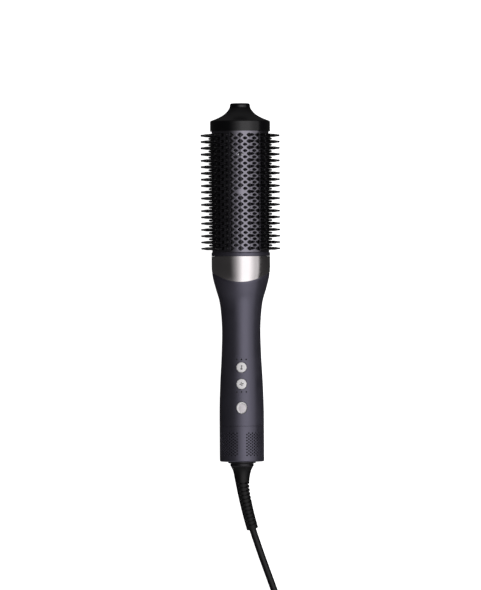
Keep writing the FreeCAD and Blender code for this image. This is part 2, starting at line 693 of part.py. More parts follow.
def make_plug_pins():
    pins = []
    for side in (-1, 1):
        start = PLUG_PLACE + V(side * PLUG_PIN_SPACING / 2, -PLUG_LENGTH, 0)
        straight = PLUG_PIN_LENGTH - PLUG_PIN_R
        pin = Part.makeCylinder(PLUG_PIN_R, straight, start, V(0, -1, 0))
        tip = Part.makeSphere(PLUG_PIN_R, start + V(0, -straight, 0))
        pins.append(solid_of(fused([pin, tip])))
    return Part.makeCompound(pins)


# Every piece by its name: those of the brush are laid down together, the cord's already lie on the floor.

def brush_pieces():
    zone = band_zone()
    front_shell, rear_shell = make_shells(zone)
    pieces = {
        "tip_cap": make_tip_cap(),
        "tip_carrier": make_tip_carrier(),
        "tip_screw": make_tip_screw(),
        "barrel": make_barrel(),
        "short_bristle_strips": make_short_strips(),
        "barrel_collar": make_collar(),
        "heater_core": make_heater_core(),
        "heater_winding": make_heater_winding(),
        "heater_sleeve": make_heater_sleeve(),
        "thermal_fuse": make_thermal_fuse(),
        "heat_shield": make_heat_shield(),
        "air_spreader": make_air_spreader(),
        "neck_band": make_band(zone),
        "front_shell": front_shell,
        "rear_shell": rear_shell,
        "shell_screws": make_shell_screws(),
        "chassis": make_chassis(),
        "heat_button": make_key(HEAT_KEY),
        "speed_button": make_key(SPEED_KEY),
        "power_button": make_key(POWER_KEY),
        "key_mat": make_key_mat(),
        "lamp_lenses": make_lamp_lenses(),
        "control_board": make_board(),
        "board_parts": make_board_parts(),
        "fan_housing": make_fan_housing(),
        "fan_cushion": make_fan_cushion(),
        "motor_can": make_motor_can(),
        "motor_rotor": make_rotor(),
        "fan_impeller": make_impeller(),
        "power_leads": make_power_leads(),
        "inlet_sleeve": make_inlet_sleeve(),
        "filter_screen": make_filter_screen(),
        "end_cap": make_end_cap(),
        "swivel_hub": make_swivel_hub(),
        "swivel_clip": make_swivel_clip(),
    }
    for column in range(COLUMNS):
        pieces[f"bristle_strip_{column + 1:02d}"] = make_long_strip(column)
    return pieces


def cord_pieces():
    return {
        "strain_relief": make_strain_relief(),
        "cord": bent_tube(CORD_ROUTE, CORD_R, "cord"),
        "cord_tail": bent_tube(TAIL_ROUTE, CORD_R, "cord_tail"),
        "cord_coil": make_coil(),
        "coil_tie": make_tie(),
        "plug": make_plug(),
        "plug_pins": make_plug_pins(),
    }


def main():
    os.makedirs("parts", exist_ok=True)
    pieces = {name: shape.copy() for name, shape in brush_pieces().items()}
    for shape in pieces.values():
        shape.Placement = LAID.multiply(shape.Placement)
    pieces.update(cord_pieces())
    for name, shape in pieces.items():
        if not shape.isValid() or shape.Volume <= 0:
            print("not sound:", name)
        shape.exportStep(f"parts/{name}.step")
    print(f"{len(pieces)} pieces, axis slopes {math.degrees(TILT):.4f} degrees, end height {END_HEIGHT:.4f}")


main()
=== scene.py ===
import json
import math

import bmesh
import bpy
from mathutils import Matrix, Vector


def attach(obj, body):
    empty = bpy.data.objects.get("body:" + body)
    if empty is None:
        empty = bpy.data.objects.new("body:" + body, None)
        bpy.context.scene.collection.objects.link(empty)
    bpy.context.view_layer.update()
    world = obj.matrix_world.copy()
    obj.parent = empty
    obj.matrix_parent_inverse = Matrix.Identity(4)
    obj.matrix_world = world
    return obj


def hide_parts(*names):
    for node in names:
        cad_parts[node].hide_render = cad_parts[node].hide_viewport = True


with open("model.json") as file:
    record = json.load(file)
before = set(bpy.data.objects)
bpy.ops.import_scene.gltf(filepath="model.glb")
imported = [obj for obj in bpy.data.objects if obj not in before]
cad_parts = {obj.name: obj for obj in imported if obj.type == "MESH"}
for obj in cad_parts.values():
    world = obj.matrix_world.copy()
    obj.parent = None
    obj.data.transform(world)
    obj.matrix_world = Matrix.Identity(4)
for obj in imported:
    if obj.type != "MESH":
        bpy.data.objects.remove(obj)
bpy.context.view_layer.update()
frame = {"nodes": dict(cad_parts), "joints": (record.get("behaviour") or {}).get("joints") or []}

MM = 0.001

# The brush lies on its back, so its own frame is tilted in the model: X to its right, Y along it from the
# handle's flat end to the cool tip, Z out of its front. The swivel's joint says where that frame is.
swivel = next(joint for joint in frame["joints"] if joint["name"] == "cord_swivel")
along = Vector(swivel["axis"]).normalized()
right = Vector((1, 0, 0))
laid = Matrix.Translation(swivel["pos_m"]) @ Matrix((right, along, right.cross(along))).transposed().to_4x4()


# Studio. A pale floor inside a pale tent, one wide soft box over the brush's right-hand side and a weaker
# one to its left. Floor and tent stay out of reflections, so black flags seem to shape the gloss.

FLOOR_HALF, FLOOR_DROP, TENT_R = 40, 0.0002, 36
BRUSH_MIDDLE = 0.15


def set_inputs(node, **values):
    """Set a node's own sockets. An underscore stands for a space in a socket's name."""
    for socket, value in values.items():
        node.inputs[socket.replace("_", " ")].default_value = value


def as_mesh(name, shape):
    """Keep a finished shape as a mesh."""
    mesh = bpy.data.meshes.new(name)
    shape.to_mesh(mesh)
    shape.free()
    return mesh


def shown(name, data):
    """An object in the scene."""
    item = bpy.data.objects.new(name, data)
    bpy.context.scene.collection.objects.link(item)
    return item


def studio_surface(name, glow):
    material = bpy.data.materials.new(name)
    material.use_nodes = True
    set_inputs(material.node_tree.nodes["Principled BSDF"], Base_Color=(0.86, 0.86, 0.87, 1), Roughness=0.95,
               Specular_IOR_Level=0.0, Emission_Color=(1, 1, 1, 1), Emission_Strength=glow)
    return material


def studio_piece(name, shape, material):
    mesh = as_mesh(name, shape)
    mesh.materials.append(material)
    item = shown(name, mesh)
    item.visible_glossy = False
    item.visible_diffuse = False
    return item


floor_shape = bmesh.new()
bmesh.ops.create_grid(floor_shape, x_segments=1, y_segments=1, size=FLOOR_HALF)
bmesh.ops.translate(floor_shape, verts=floor_shape.verts, vec=(0, 0, -FLOOR_DROP))
studio_piece("floor", floor_shape, studio_surface("floor_paper", 1.05))
tent_shape = bmesh.new()
bmesh.ops.create_icosphere(tent_shape, subdivisions=4, radius=TENT_R)
bmesh.ops.reverse_faces(tent_shape, faces=tent_shape.faces)
tent = studio_piece("tent", tent_shape, studio_surface("tent_cloth", 1.0))
tent.visible_shadow = False


def soft_box(name, lean, spread, glow, length=1.5, away=1.0):
    """An area light facing the brush. It stands so many degrees round to the brush's right, spans so many
    degrees, and runs along the brush."""
    outward = front * math.cos(math.radians(lean)) + right * math.sin(math.radians(lean))
    lamp = bpy.data.lights.new(name, "AREA")
    lamp.shape = "RECTANGLE"
    lamp.size = 2 * away * math.tan(math.radians(spread / 2))
    lamp.size_y = length
    lamp.energy = glow * math.pi * lamp.size * length
    lamp.color = (1.0, 0.985, 1.0)
    box = shown(name, lamp)
    side = along.cross(outward).normalized()
    turn = Matrix((side, outward.cross(side), outward)).transposed().to_4x4()
    box.matrix_world = Matrix.Translation(laid @ Vector((0, BRUSH_MIDDLE, 0)) + outward * away) @ turn
    box.visible_camera = False
    return box


front = right.cross(along)
soft_box("key_box", 20, 34, 1.3)
for i, (lean, spread, glow) in enumerate((
        (-35, 6, 0.05), (-29, 6, 0.12), (-23, 6, 0.22), (-17, 6, 0.36), (-11, 6, 0.54), (-5, 6, 0.76),
        (0.5, 5, 1.02), (40, 6, 1.1), (46, 6, 0.92), (52, 6, 0.78), (65.5, 21, 0.62))):
    soft_box(f"step_box_{i + 1}", lean, spread, glow)

# The room is dim across the brush and lighter beyond its two ends, where the flags leave gaps.
world = bpy.data.worlds.new("studio_dim")
world.use_nodes = True
sky_nodes, sky_link = world.node_tree.nodes, world.node_tree.links.new
heading = sky_nodes.new("ShaderNodeTexCoord")
endwise = sky_nodes.new("ShaderNodeVectorMath")
endwise.operation = "DOT_PRODUCT"
endwise.inputs[1].default_value = along
sky_link(heading.outputs["Generated"], endwise.inputs[0])
sky = sky_nodes.new("ShaderNodeValToRGB")
shift = sky_nodes.new("ShaderNodeMapRange")
set_inputs(shift, From_Min=-1)
sky_link(endwise.outputs["Value"], shift.inputs["Value"])
sky_link(shift.outputs["Result"], sky.inputs["Fac"])
sky.color_ramp.elements[0].position, sky.color_ramp.elements[1].position = 0.0, 1.0
sky.color_ramp.elements[0].color = (0.34, 0.335, 0.34, 1)
sky.color_ramp.elements[1].color = (0.16, 0.158, 0.16, 1)
for position, level in ((0.14, 0.24), (0.34, 0.032), (0.66, 0.028), (0.86, 0.07)):
    stop = sky.color_ramp.elements.new(position)
    stop.color = (level, level * 0.985, level, 1)
sky_link(sky.outputs["Color"], sky_nodes["Background"].inputs["Color"])
set_inputs(sky_nodes["Background"], Strength=1.0)
bpy.context.scene.world = world
bpy.context.scene.view_settings.view_transform = "Standard"


# Camera. It looks square at the brush's front from far away. The brush stands upright in its view, leaning
# by a third of a degree.

SENSOR = 36
CAMERA_AWAY = 5.0
SEEN_LENGTH = 0.531
SEEN_MIDDLE = (-0.00048, 0.1501)
LEAN = math.radians(0.34)

eye = bpy.data.cameras.new("front_view")
eye.sensor_width = SENSOR
eye.lens = SENSOR * CAMERA_AWAY / SEEN_LENGTH
eye.clip_end = 100
camera = shown("front_view", eye)
up = (along * math.cos(LEAN) + right * math.sin(LEAN)).normalized()
camera.matrix_world = Matrix.Translation(laid @ Vector((*SEEN_MIDDLE, CAMERA_AWAY))) @ Matrix(
    (up.cross(front), up, front)).transposed().to_4x4()
bpy.context.scene.camera = camera


# Swivel. A glass-filled nylon collar that turns in the handle's end, kept in by a spring ring. Its outer
# flange shows between the handle and the strain relief.

NOISE_LOW, NOISE_HIGH = 0.3, 0.7
BROAD_NOISE = 60
COARSE_GRAIN = 400


def finish_of(name, colour, roughness, grain=900.0, relief=0.2, drift=0.06, mottle=0.12, metallic=0.0,
              stretch=(1, 1, 1), depth=0.05, **sockets):
    """A procedural finish: grain in relief, uneven gloss and a slight drift of the colour."""
    material = bpy.data.materials.new(name)
    material.use_nodes = True
    material.diffuse_color = (*colour, 1)
    nodes, link = material.node_tree.nodes, material.node_tree.links.new
    shader = nodes["Principled BSDF"]
    set_inputs(shader, Metallic=metallic, **sockets)
    place = nodes.new("ShaderNodeTexCoord")
    stretched = nodes.new("ShaderNodeMapping")
    set_inputs(stretched, Scale=stretch)
    link(place.outputs["Object"], stretched.inputs["Vector"])
    fine = nodes.new("ShaderNodeTexNoise")
    set_inputs(fine, Scale=grain, Detail=4)
    link(stretched.outputs["Vector"], fine.inputs["Vector"])
    broad = nodes.new("ShaderNodeTexNoise")
    set_inputs(broad, Scale=BROAD_NOISE, Detail=5)
    link(place.outputs["Object"], broad.inputs["Vector"])
    bump = nodes.new("ShaderNodeBump")
    set_inputs(bump, Strength=relief, Distance=depth * MM)
    link(fine.outputs["Fac"], bump.inputs["Height"])
    link(bump.outputs["Normal"], shader.inputs["Normal"])
    gloss = nodes.new("ShaderNodeMapRange")
    set_inputs(gloss, From_Min=NOISE_LOW, From_Max=NOISE_HIGH)
    set_inputs(gloss, To_Min=roughness - drift, To_Max=roughness + drift)
    link(broad.outputs["Fac"], gloss.inputs["Value"])
    link(gloss.outputs["Result"], shader.inputs["Roughness"])
    tint = nodes.new("ShaderNodeValToRGB")
    for i, position, share in ((0, NOISE_LOW, 1 - mottle), (1, NOISE_HIGH, 1 + mottle)):
        tint.color_ramp.elements[i].position = position
        tint.color_ramp.elements[i].color = (*[c * share for c in colour], 1)
    link((fine if grain < COARSE_GRAIN else broad).outputs["Fac"], tint.inputs["Fac"])
    link(tint.outputs["Color"], shader.inputs["Base Color"])
    return material


def turned(outline, steps=96, axis=(0, 1, 0), centre=(0, 0, 0), closed=True):
    """Spin an outline of (radius, height) points about an axis. An open one starts and ends on the axis."""
    shape = bmesh.new()
    standing = axis[1] == 1
    points = [(r, h, 0) if standing else (r, 0, h) for r, h in outline]
    ring = [shape.verts.new((Vector(p) + Vector(centre)) * MM) for p in points]
    following = ring[1:] + ring[:1] if closed else ring[1:]
    edges = [shape.edges.new(pair) for pair in zip(ring, following)]
    bmesh.ops.spin(shape, geom=ring + edges, cent=Vector(centre) * MM, axis=axis, angle=2 * math.pi,
                   steps=steps, use_merge=True, use_duplicate=False)
    bmesh.ops.remove_doubles(shape, verts=shape.verts, dist=1e-6)
    bmesh.ops.recalc_face_normals(shape, faces=shape.faces)
    return shape


def fit(name, shape, material, body, stands_for=(), lie=True, soften=0.0, wall=0.0, smooth=35):
    """Turn a finished shape into a piece of the model: laid down with the brush, rounded, and on its body."""
    if lie:
        bmesh.ops.transform(shape, matrix=laid, verts=shape.verts)
    mesh = as_mesh(name, shape)
    mesh.shade_smooth()
    mesh.materials.append(material)
    item = shown(name, mesh)
    if wall:
        thick = item.modifiers.new("wall", "SOLIDIFY")
        thick.thickness = wall * MM
        thick.offset = -1
        thick.use_even_offset = True
    if soften:
        edge = item.modifiers.new("soft_edges", "BEVEL")
        edge.width = soften * MM
        edge.segments = 3
        edge.limit_method = "ANGLE"
        edge.angle_limit = math.radians(smooth)
        edge.harden_normals = True
    else:
        mesh.set_sharp_from_angle(angle=math.radians(smooth))
    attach(item, body)
    if stands_for:
        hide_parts(*([stands_for] if isinstance(stands_for, str) else stands_for))
    return item


def refinish(material, *nodes):
    """Give CAD nodes that stay in view their finish."""
    for node in nodes:
        mesh = frame["nodes"][node].data
        mesh.materials.clear()
        mesh.materials.append(material)


dark_nylon = finish_of("dark_nylon", (0.035, 0.034, 0.038), 0.38, grain=1400, relief=0.2, metallic=0.6)
spring_steel = finish_of("spring_steel", (0.42, 0.42, 0.43), 0.28, grain=700, stretch=(1, 14, 1),
                         metallic=1.0)
COLLAR_FACE = -4.6
hub_outline = [(3.3, COLLAR_FACE), (9.7, COLLAR_FACE), (10.5, -3.6), (10.5, -1.5), (8.4, -1.5), (8.4, 9.3),
               (7.3, 9.3), (7.3, 10.7), (8.4, 10.7), (8.4, 12.6), (3.3, 12.6)]
fit("swivel_collar", turned(hub_outline), dark_nylon, "cord_set", "swivel_hub", soften=0.25)
refinish(spring_steel, "swivel_clip")


# Strain relief. A soft PVC sleeve moulded over the cord and the collar's end. It flares into the collar. A
# column of slots at its front and one at its back let it bend in even curves; a few more cut its right side.

def smooth_line(points, per_span=12):
    """Points along a smooth curve that passes through the given ones."""
    points = [Vector(p) for p in points]
    ends = [points[0] * 2 - points[1]] + points + [points[-1] * 2 - points[-2]]
    line = []
    for a, b, c, d in zip(ends, ends[1:], ends[2:], ends[3:]):
        for i in range(per_span):
            t = i / per_span
            line.append(0.5 * (2 * b + (c - a) * t + (2 * a - 5 * b + 4 * c - d) * t ** 2
                               + (3 * b - a - 3 * c + d) * t ** 3))
    return line + [points[-1]]


class Course:
    """A line in space, read by the distance along it."""

    def __init__(self, points):
        self.points = points
        self.reach = [0.0]
        for a, b in zip(points, points[1:]):
            self.reach.append(self.reach[-1] + (b - a).length)

    def at(self, distance):
        """The point at a distance, and the direction there."""
        i = 1
        while i < len(self.reach) - 1 and self.reach[i] < distance:
            i += 1
        a, b = self.points[i - 1], self.points[i]
        share = (distance - self.reach[i - 1]) / (self.reach[i] - self.reach[i - 1])
        ahead = self.points[min(i + 1, len(self.points) - 1)] - self.points[max(i - 2, 0)]
        return a.lerp(b, share), ahead.normalized()


def bend(shape, course):
    """Lay a shape that stands along Y onto a course, its X kept level."""
    for v in shape.verts:
        centre, way = course.at(v.co.y)
        level = way.cross(Vector((0, 0, 1))).normalized()
        v.co = centre + level * v.co.x + level.cross(way) * v.co.z


END_FROM_MIDDLE = -130.4 * MM     # the handle's flat end, from the frame's origin along the floor


def on_floor(x, below, height):
    """A point beside the brush: right of its axis, beyond its flat end, above the floor, in millimetres."""
    return Vector((x * MM, END_FROM_MIDDLE - below * MM, height * MM))


RELIEF_NECK = 14.0
RELIEF_END = on_floor(9.1, 59.8, 9.2)
relief_points = [laid @ Vector((0, station * MM, 0)) for station in (COLLAR_FACE, -9.0, -RELIEF_NECK)]
relief_points += [on_floor(0.45, 20.5, 17.95), on_floor(1.5, 28.0, 16.75), on_floor(3.4, 37.5, 14.75),
                  on_floor(5.9, 48.0, 12.1), RELIEF_END]
relief_course = Course(smooth_line(relief_points))
relief_length = relief_course.reach[-1] / MM

SLOT_PITCH, SLOT_FIRST, SLOT_COUNT = 1.72, 14.6, 23
SLOT_HALF, SLOT_LIP_HALF = 0.5, 0.68
SLOT_TURN, SIDE_SLOT_TURN, SIDE_SLOTS_END = 38, 34, 10
SLOT_FLOOR, SIDE_SLOT_FLOOR = 4.0, 5.0
CORD_BORE, BORE_DEPTH = 3.35, 1.5


def relief_radius(distance):
    taper = [(0, 9.7), (1.3, 9.1), (2.8, 8.35), (6.4, 7.4), (10, 6.8), (13.5, 6.3), (18, 5.85), (26, 5.5),
             (40, 5.3), (relief_length, 5.2)]
    for (a, ra), (b, rb) in zip(taper, taper[1:]):
        if distance <= b:
            return ra + (rb - ra) * (distance - a) / (b - a)
    return taper[-1][1]


slot_middles = [SLOT_FIRST + SLOT_PITCH * i for i in range(SLOT_COUNT)]
rings = [0, 1.3, 2.8, 4.5, 6.4, 8.2, 10, 11.8, 13.4]
for middle in slot_middles:
    rings += [middle + off for off in (-SLOT_LIP_HALF, -SLOT_HALF, SLOT_HALF, SLOT_LIP_HALF)]
rings += [relief_length - 0.7, relief_length - 0.2]
relief_outline = [(0, 0)] + [(relief_radius(d), d) for d in rings]
relief_outline += [(4.85, relief_length), (CORD_BORE, relief_length), (CORD_BORE, relief_length - BORE_DEPTH),
                   (0, relief_length - BORE_DEPTH)]
relief = turned(relief_outline, steps=48, closed=False)
for v in relief.verts:
    distance = v.co.y / MM
    radius = math.hypot(v.co.x, v.co.z)
    for i, middle in enumerate(slot_middles):
        if abs(distance - middle) < SLOT_HALF + 0.05 and radius > SLOT_FLOOR * MM:
            turn = math.degrees(math.atan2(v.co.x, v.co.z))
            if i % 2:
                cut = abs(turn + 90) < SIDE_SLOT_TURN and i < SIDE_SLOTS_END
            else:
                cut = abs(turn) < SLOT_TURN or abs(turn) > 180 - SLOT_TURN
            if cut:
                floor_r = SIDE_SLOT_FLOOR if i % 2 else SLOT_FLOOR
                v.co.x, v.co.z = v.co.x * floor_r * MM / radius, v.co.z * floor_r * MM / radius
bend(relief, relief_course)
bmesh.ops.recalc_face_normals(relief, faces=relief.faces)
soft_pvc = finish_of("soft_pvc", (0.004, 0.004, 0.0045), 0.5, grain=1800, relief=0.35, mottle=0.2,
                     Specular_IOR_Level=0.35)
fit("strain_relief_sleeve", relief, soft_pvc, "cord_set", "strain_relief", lie=False,
    smooth=50)


# Cord. A round two-core lead in black PVC, 1.8 m long. It leaves the strain relief, drops to the table and
# runs into a neat coil, four turns wide and two high; its other end comes off the top and goes to the plug.

CORD_THICK = 6.2
COIL_CENTRE = (-2.0, 170.0)
COIL_INSIDE = 26.55
COIL_LAYERS = (4.0, 10.3)
TURN_GAP = 0.1
COIL_SWELL = 1.004      # the curve runs a little inside its points
POINTS_PER_TURN = 24
ENTRY, EXIT = 23.5, -25.0
PLUG_START = on_floor(16.0, 258.0, 10.0)
lead_in = [RELIEF_END, on_floor(14.4, 76.0, 5.7), on_floor(21.5, 96.0, 3.5),
           on_floor(28.7, 116.0, 3.1), on_floor(35.3, 135.5, 3.3)]
lead_out = [on_floor(32.2, 205.0, 8.2), on_floor(24.4, 222.5, 6.8), on_floor(18.4, 240.5, 7.6), PLUG_START]


def eased(share):
    """A share from nought to one that starts and stops gently."""
    share = min(1.0, max(0.0, share))
    return share * share * (3 - 2 * share)


def coil_section(turns):
    """Place in the coil's section after so many turns: how many cords out from the inside, and how high."""
    whole = math.floor(turns)
    part = turns - whole
    if whole < 3:
        return 3 - whole - eased((part - 0.70) / 0.30), 0.0
    if whole == 3:
        return 0.0, eased((part - 0.70) / 0.30)
    return whole - 4 + eased((part - 0.40) / 0.28), 1.0


coil_turns = 7 + (ENTRY - EXIT) / 360
coil_points = []
for i in range(1, math.floor(coil_turns * POINTS_PER_TURN)):
    turns = i / POINTS_PER_TURN
    out, high = coil_section(turns)
    angle = math.radians(ENTRY - 360 * turns)
    radius = (COIL_INSIDE + min(out, 3.0) * (CORD_THICK + TURN_GAP)) * COIL_SWELL
    height = COIL_LAYERS[0] + high * (COIL_LAYERS[1] - COIL_LAYERS[0])
    coil_points.append(on_floor(COIL_CENTRE[0] + radius * math.cos(angle),
                                COIL_CENTRE[1] - radius * math.sin(angle), height))

cord_line = bpy.data.curves.new("mains_cord", "CURVE")
cord_line.dimensions = "3D"
run = cord_line.splines.new("NURBS")
route = lead_in + [on_floor(40.0, 152.0, 4.0)] + coil_points + [on_floor(39.2, 189.2, 10.3)] + lead_out
run.points.add(len(route) - 1)
for point, place in zip(run.points, route):
    point.co = (*place, 1)
run.order_u = 3
run.use_endpoint_u = True
run.resolution_u = 5
cord_line.bevel_depth = CORD_THICK / 2 * MM
cord_line.bevel_resolution = 6
cord_line.use_fill_caps = True
mains_cord = shown("mains_cord", cord_line)
jacket = finish_of("cord_jacket", (0.004, 0.004, 0.0045), 0.46, grain=1500, relief=0.3, mottle=0.2,
                   Specular_IOR_Level=0.4)
cord_line.materials.append(jacket)
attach(mains_cord, "cord_set")
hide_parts("cord", "cord_tail", "cord_coil")


# Tie. A strip of hook-and-loop tape round the coil, its free end pressed down on top.

TIE_WIDTH, TIE_THICK = 14.0, 0.7
TIE_HALF, TIE_HEIGHT, TIE_ROUND = 12.75, 13.4, 3.2
TIE_FROM_CENTRE = 36.0
TIE_CELLS = 6
FLAP_LIFT = 0.8


def grow(shape, edges):
    """Extrude edges where they stand: the new corners, and the new edges between them."""
    drawn = bmesh.ops.extrude_edge_only(shape, edges=edges)["geom"]
    corners = {g for g in drawn if isinstance(g, bmesh.types.BMVert)}
    return corners, [g for g in drawn if isinstance(g, bmesh.types.BMEdge) and corners.issuperset(g.verts)]


tie = bmesh.new()
band_line = []
for sx, sz in ((-1, 1), (-1, -1), (1, -1), (1, 1)):
    centre = Vector((sx * (TIE_HALF - TIE_ROUND), 0, TIE_HEIGHT / 2 + sz * (TIE_HEIGHT / 2 - TIE_ROUND)))
    start = math.atan2(sz, sx) + math.radians(-45)
    for i in range(7):
        angle = start + math.radians(15) * i
        band_line.append(centre + Vector((math.cos(angle), 0, math.sin(angle))) * TIE_ROUND)
ring = [tie.verts.new(p * MM) for p in band_line]
edges = [tie.edges.new(pair) for pair in zip(ring, ring[1:] + ring[:1])]
tail = ((TIE_HALF - 3.4, FLAP_LIFT), (0, FLAP_LIFT), (-7.5, FLAP_LIFT), (-9.0, 1.1))
flap = [tie.verts.new(Vector((x, 0, TIE_HEIGHT + lift)) * MM) for x, lift in tail]
edges += [tie.edges.new(pair) for pair in zip(flap, flap[1:])]
for _ in range(TIE_CELLS):
    fresh, edges = grow(tie, edges)
    bmesh.ops.translate(tie, verts=list(fresh), vec=(0, TIE_WIDTH / TIE_CELLS * MM, 0))
for v in tie.verts:
    v.co.y -= TIE_WIDTH / 2 * MM
    v.co.x += (TIE_FROM_CENTRE - math.sqrt(TIE_FROM_CENTRE ** 2 - (v.co.y / MM) ** 2)) * MM
bmesh.ops.recalc_face_normals(tie, faces=tie.faces)
tie_place = on_floor(COIL_CENTRE[0] - TIE_FROM_CENTRE, COIL_CENTRE[1], TIE_THICK)
bmesh.ops.translate(tie, verts=tie.verts, vec=tie_place)


def tape_weave():
    """Hook-and-loop tape: fine ribs across and short fibres standing out of it."""
    material = finish_of("tape_weave", (0.010, 0.010, 0.011), 0.85, grain=2600, relief=0.8, mottle=0.35,
                         depth=0.2, Sheen_Weight=0.5)
    nodes, link = material.node_tree.nodes, material.node_tree.links.new
    place = next(n for n in nodes if n.type == "TEX_COORD")
    ribs = nodes.new("ShaderNodeTexWave")
    ribs.bands_direction = "Y"
    set_inputs(ribs, Scale=320, Distortion=1.5)
    link(place.outputs["Object"], ribs.inputs["Vector"])
    fibres = next(n for n in nodes if n.type == "BUMP")
    rib_bump = nodes.new("ShaderNodeBump")
    set_inputs(rib_bump, Strength=0.6, Distance=0.15 * MM)
    link(ribs.outputs["Fac"], rib_bump.inputs["Height"])
    link(rib_bump.outputs["Normal"], fibres.inputs["Normal"])
    return material


coil_strap = fit("coil_strap", tie, tape_weave(), "cord_set", "coil_tie", lie=False)
strap_body = coil_strap.modifiers.new("tape", "SOLIDIFY")
strap_body.thickness = TIE_THICK * MM
strap_body.offset = 0.6


# Plug. A flat two-pin plug moulded on the cord's end: a ribbed neck that bends, a waisted grip with finger
# ridges, and a face as wide as a socket. Its pins are nickel-plated brass with rounded ends.

plug_sections = [(0.6, 4.4, 4.4), (6.0, 4.6, 4.6), (12.0, 5.0, 5.0), (17.0, 6.2, 5.6), (22.0, 9.6, 7.0),
                 (28.0, 13.0, 8.2), (34.0, 14.8, 8.8), (40.0, 16.0, 9.2), (46.0, 17.3, 9.6),
                 (51.0, 17.8, 9.8)]
plug_rings = [Vector((0.0, 3.9, 3.9)), *smooth_line(plug_sections, per_span=10)]
plug_rings += [Vector((51.6, 17.6, 9.6)), Vector((52.0, 16.9, 9.0))]
NECK_RIBS, NECK_RIB_PITCH, NECK_RIB_DEPTH = (2.4, 15.6), 2.4, 0.10
RIDGES, RIDGE_PITCH, RIDGE_DEPTH, RIDGES_OUT = (27, 45), 3.6, 0.45, 11
plug = bmesh.new()
bmesh.ops.create_circle(plug, segments=56, radius=MM, cap_ends=False)
bmesh.ops.rotate(plug, verts=plug.verts, cent=(0, 0, 0), matrix=Matrix.Rotation(math.pi / 2, 3, "X"))
bmesh.ops.scale(plug, verts=plug.verts, vec=(plug_rings[0].y, 1, plug_rings[0].z))
first_ring = edges = list(plug.edges)
for here, there in zip(plug_rings, plug_rings[1:]):
    fresh, edges = grow(plug, edges)
    bmesh.ops.scale(plug, verts=list(fresh), vec=(there.y / here.y, 1, there.z / here.z))
    bmesh.ops.translate(plug, verts=list(fresh), vec=(0, (here.x - there.x) * MM, 0))
bmesh.ops.contextual_create(plug, geom=edges)
bmesh.ops.contextual_create(plug, geom=first_ring)
for v in plug.verts:
    below = -v.co.y / MM
    if NECK_RIBS[0] < below < NECK_RIBS[1]:
        rib = math.sin(math.pi * (below - NECK_RIBS[0]) / NECK_RIB_PITCH)
        pinch = 1 - NECK_RIB_DEPTH * eased(rib ** 2)
        v.co.x, v.co.z = v.co.x * pinch, v.co.z * pinch
    if RIDGES[0] < below < RIDGES[1] and abs(v.co.x) / MM > RIDGES_OUT:
        ridge = math.sin(math.pi * (below - RIDGES[0]) / RIDGE_PITCH)
        v.co.x -= math.copysign(RIDGE_DEPTH * ridge ** 2, v.co.x) * MM
    if below > 20:
        v.co.z *= 1 - 0.14 * eased((abs(v.co.x) / MM - 9) / 8) * eased((below - 20) / 10)
bmesh.ops.translate(plug, verts=plug.verts, vec=PLUG_START)
bmesh.ops.recalc_face_normals(plug, faces=plug.faces)
plug_pvc = finish_of("plug_pvc", (0.006, 0.006, 0.0065), 0.4, grain=1100, relief=0.4, mottle=0.15)
plug_body = fit("plug_body", plug, plug_pvc, "cord_set", "plug", lie=False)
nickel = finish_of("nickel_plate", (0.62, 0.58, 0.50), 0.22, grain=500, relief=0.1, metallic=1.0,
                   stretch=(1, 0.1, 1), drift=0.08)
refinish(nickel, "plug_pins")


# Air inlet. A pierced sleeve round the handle's end, moulded in one with its rolled-in lip. It twists on a
# bayonet to come off. Behind its holes lies a fine steel screen.

def new_loop(shape, points):
    """A closed loop of edges through the given points, in millimetres."""
    ring = [shape.verts.new(Vector(p) * MM) for p in points]
    return [shape.edges.new(pair) for pair in zip(ring, ring[1:] + ring[:1])]


def step_loop(shape, edges, here, there):
    """Extrude a loop of edges. The corner that stood at a point of one list goes to its like in the next."""
    fresh, edges = grow(shape, edges)
    for v in fresh:
        nearest = min(range(len(here)), key=lambda n: (Vector(here[n]) * MM - v.co).length_squared)
        v.co = Vector(there[nearest]) * MM
    return edges


def move_loop(shape, edges, move):
    """Extrude a loop of edges and move each new corner by a rule in millimetres."""
    fresh, edges = grow(shape, edges)
    for v in fresh:
        v.co = Vector(move(v.co / MM)) * MM
    return edges


def spots(steps, cuts=(), share=0.0):
    """Places round a diamond: (side, share of the side, True on a cut corner's own place)."""
    found = []
    for side in range(4):
        found += [(side, 0.0, True), (side, share, False)] if side in cuts else [(side, 0.0, False)]
        found += [(side, i / steps, False) for i in range(1, steps)]
        if (side + 1) % 4 in cuts:
            found.append((side, 1 - share, False))
    return found


def diamond(half_w, half_h, places, height, bite=0.0):
    """The points of a diamond that lie at the given places."""
    corners = [Vector((x, y, height)) for x, y in ((half_w, 0), (0, half_h), (-half_w, 0), (0, -half_h))]
    found = []
    for side, share, bitten in places:
        spot = corners[side].lerp(corners[(side + 1) % 4], share)
        if bitten:
            spot -= Vector((spot.x, spot.y, 0)).normalized() * bite
        found.append(spot)
    return found


def tile(half_w, half_h, places, wall, openings=(), bite=0.0):
    """One diamond of a flat wall, plain or pierced; the opening is given as loops from the face inward."""
    shape = bmesh.new()
    top, bottom = (diamond(half_w, half_h, places, height, bite) for height in (0, -wall))
    if openings:
        edges, here = new_loop(shape, top), top
        for there in [*openings, bottom]:
            edges, here = step_loop(shape, edges, here, there), there
    else:
        for rim in (top, bottom):
            edges = new_loop(shape, rim)
            for share in (0.7, 0.5):
                edges = move_loop(shape, edges, lambda p, k=share: (p.x * k, p.y * k, p.z))
            bmesh.ops.contextual_create(shape, geom=edges)
    return as_mesh("tile", shape)


def joined(shape):
    """Merge the corners that meet and turn the faces outward."""
    bmesh.ops.remove_doubles(shape, verts=shape.verts, dist=2e-6)
    bmesh.ops.recalc_face_normals(shape, faces=shape.faces)


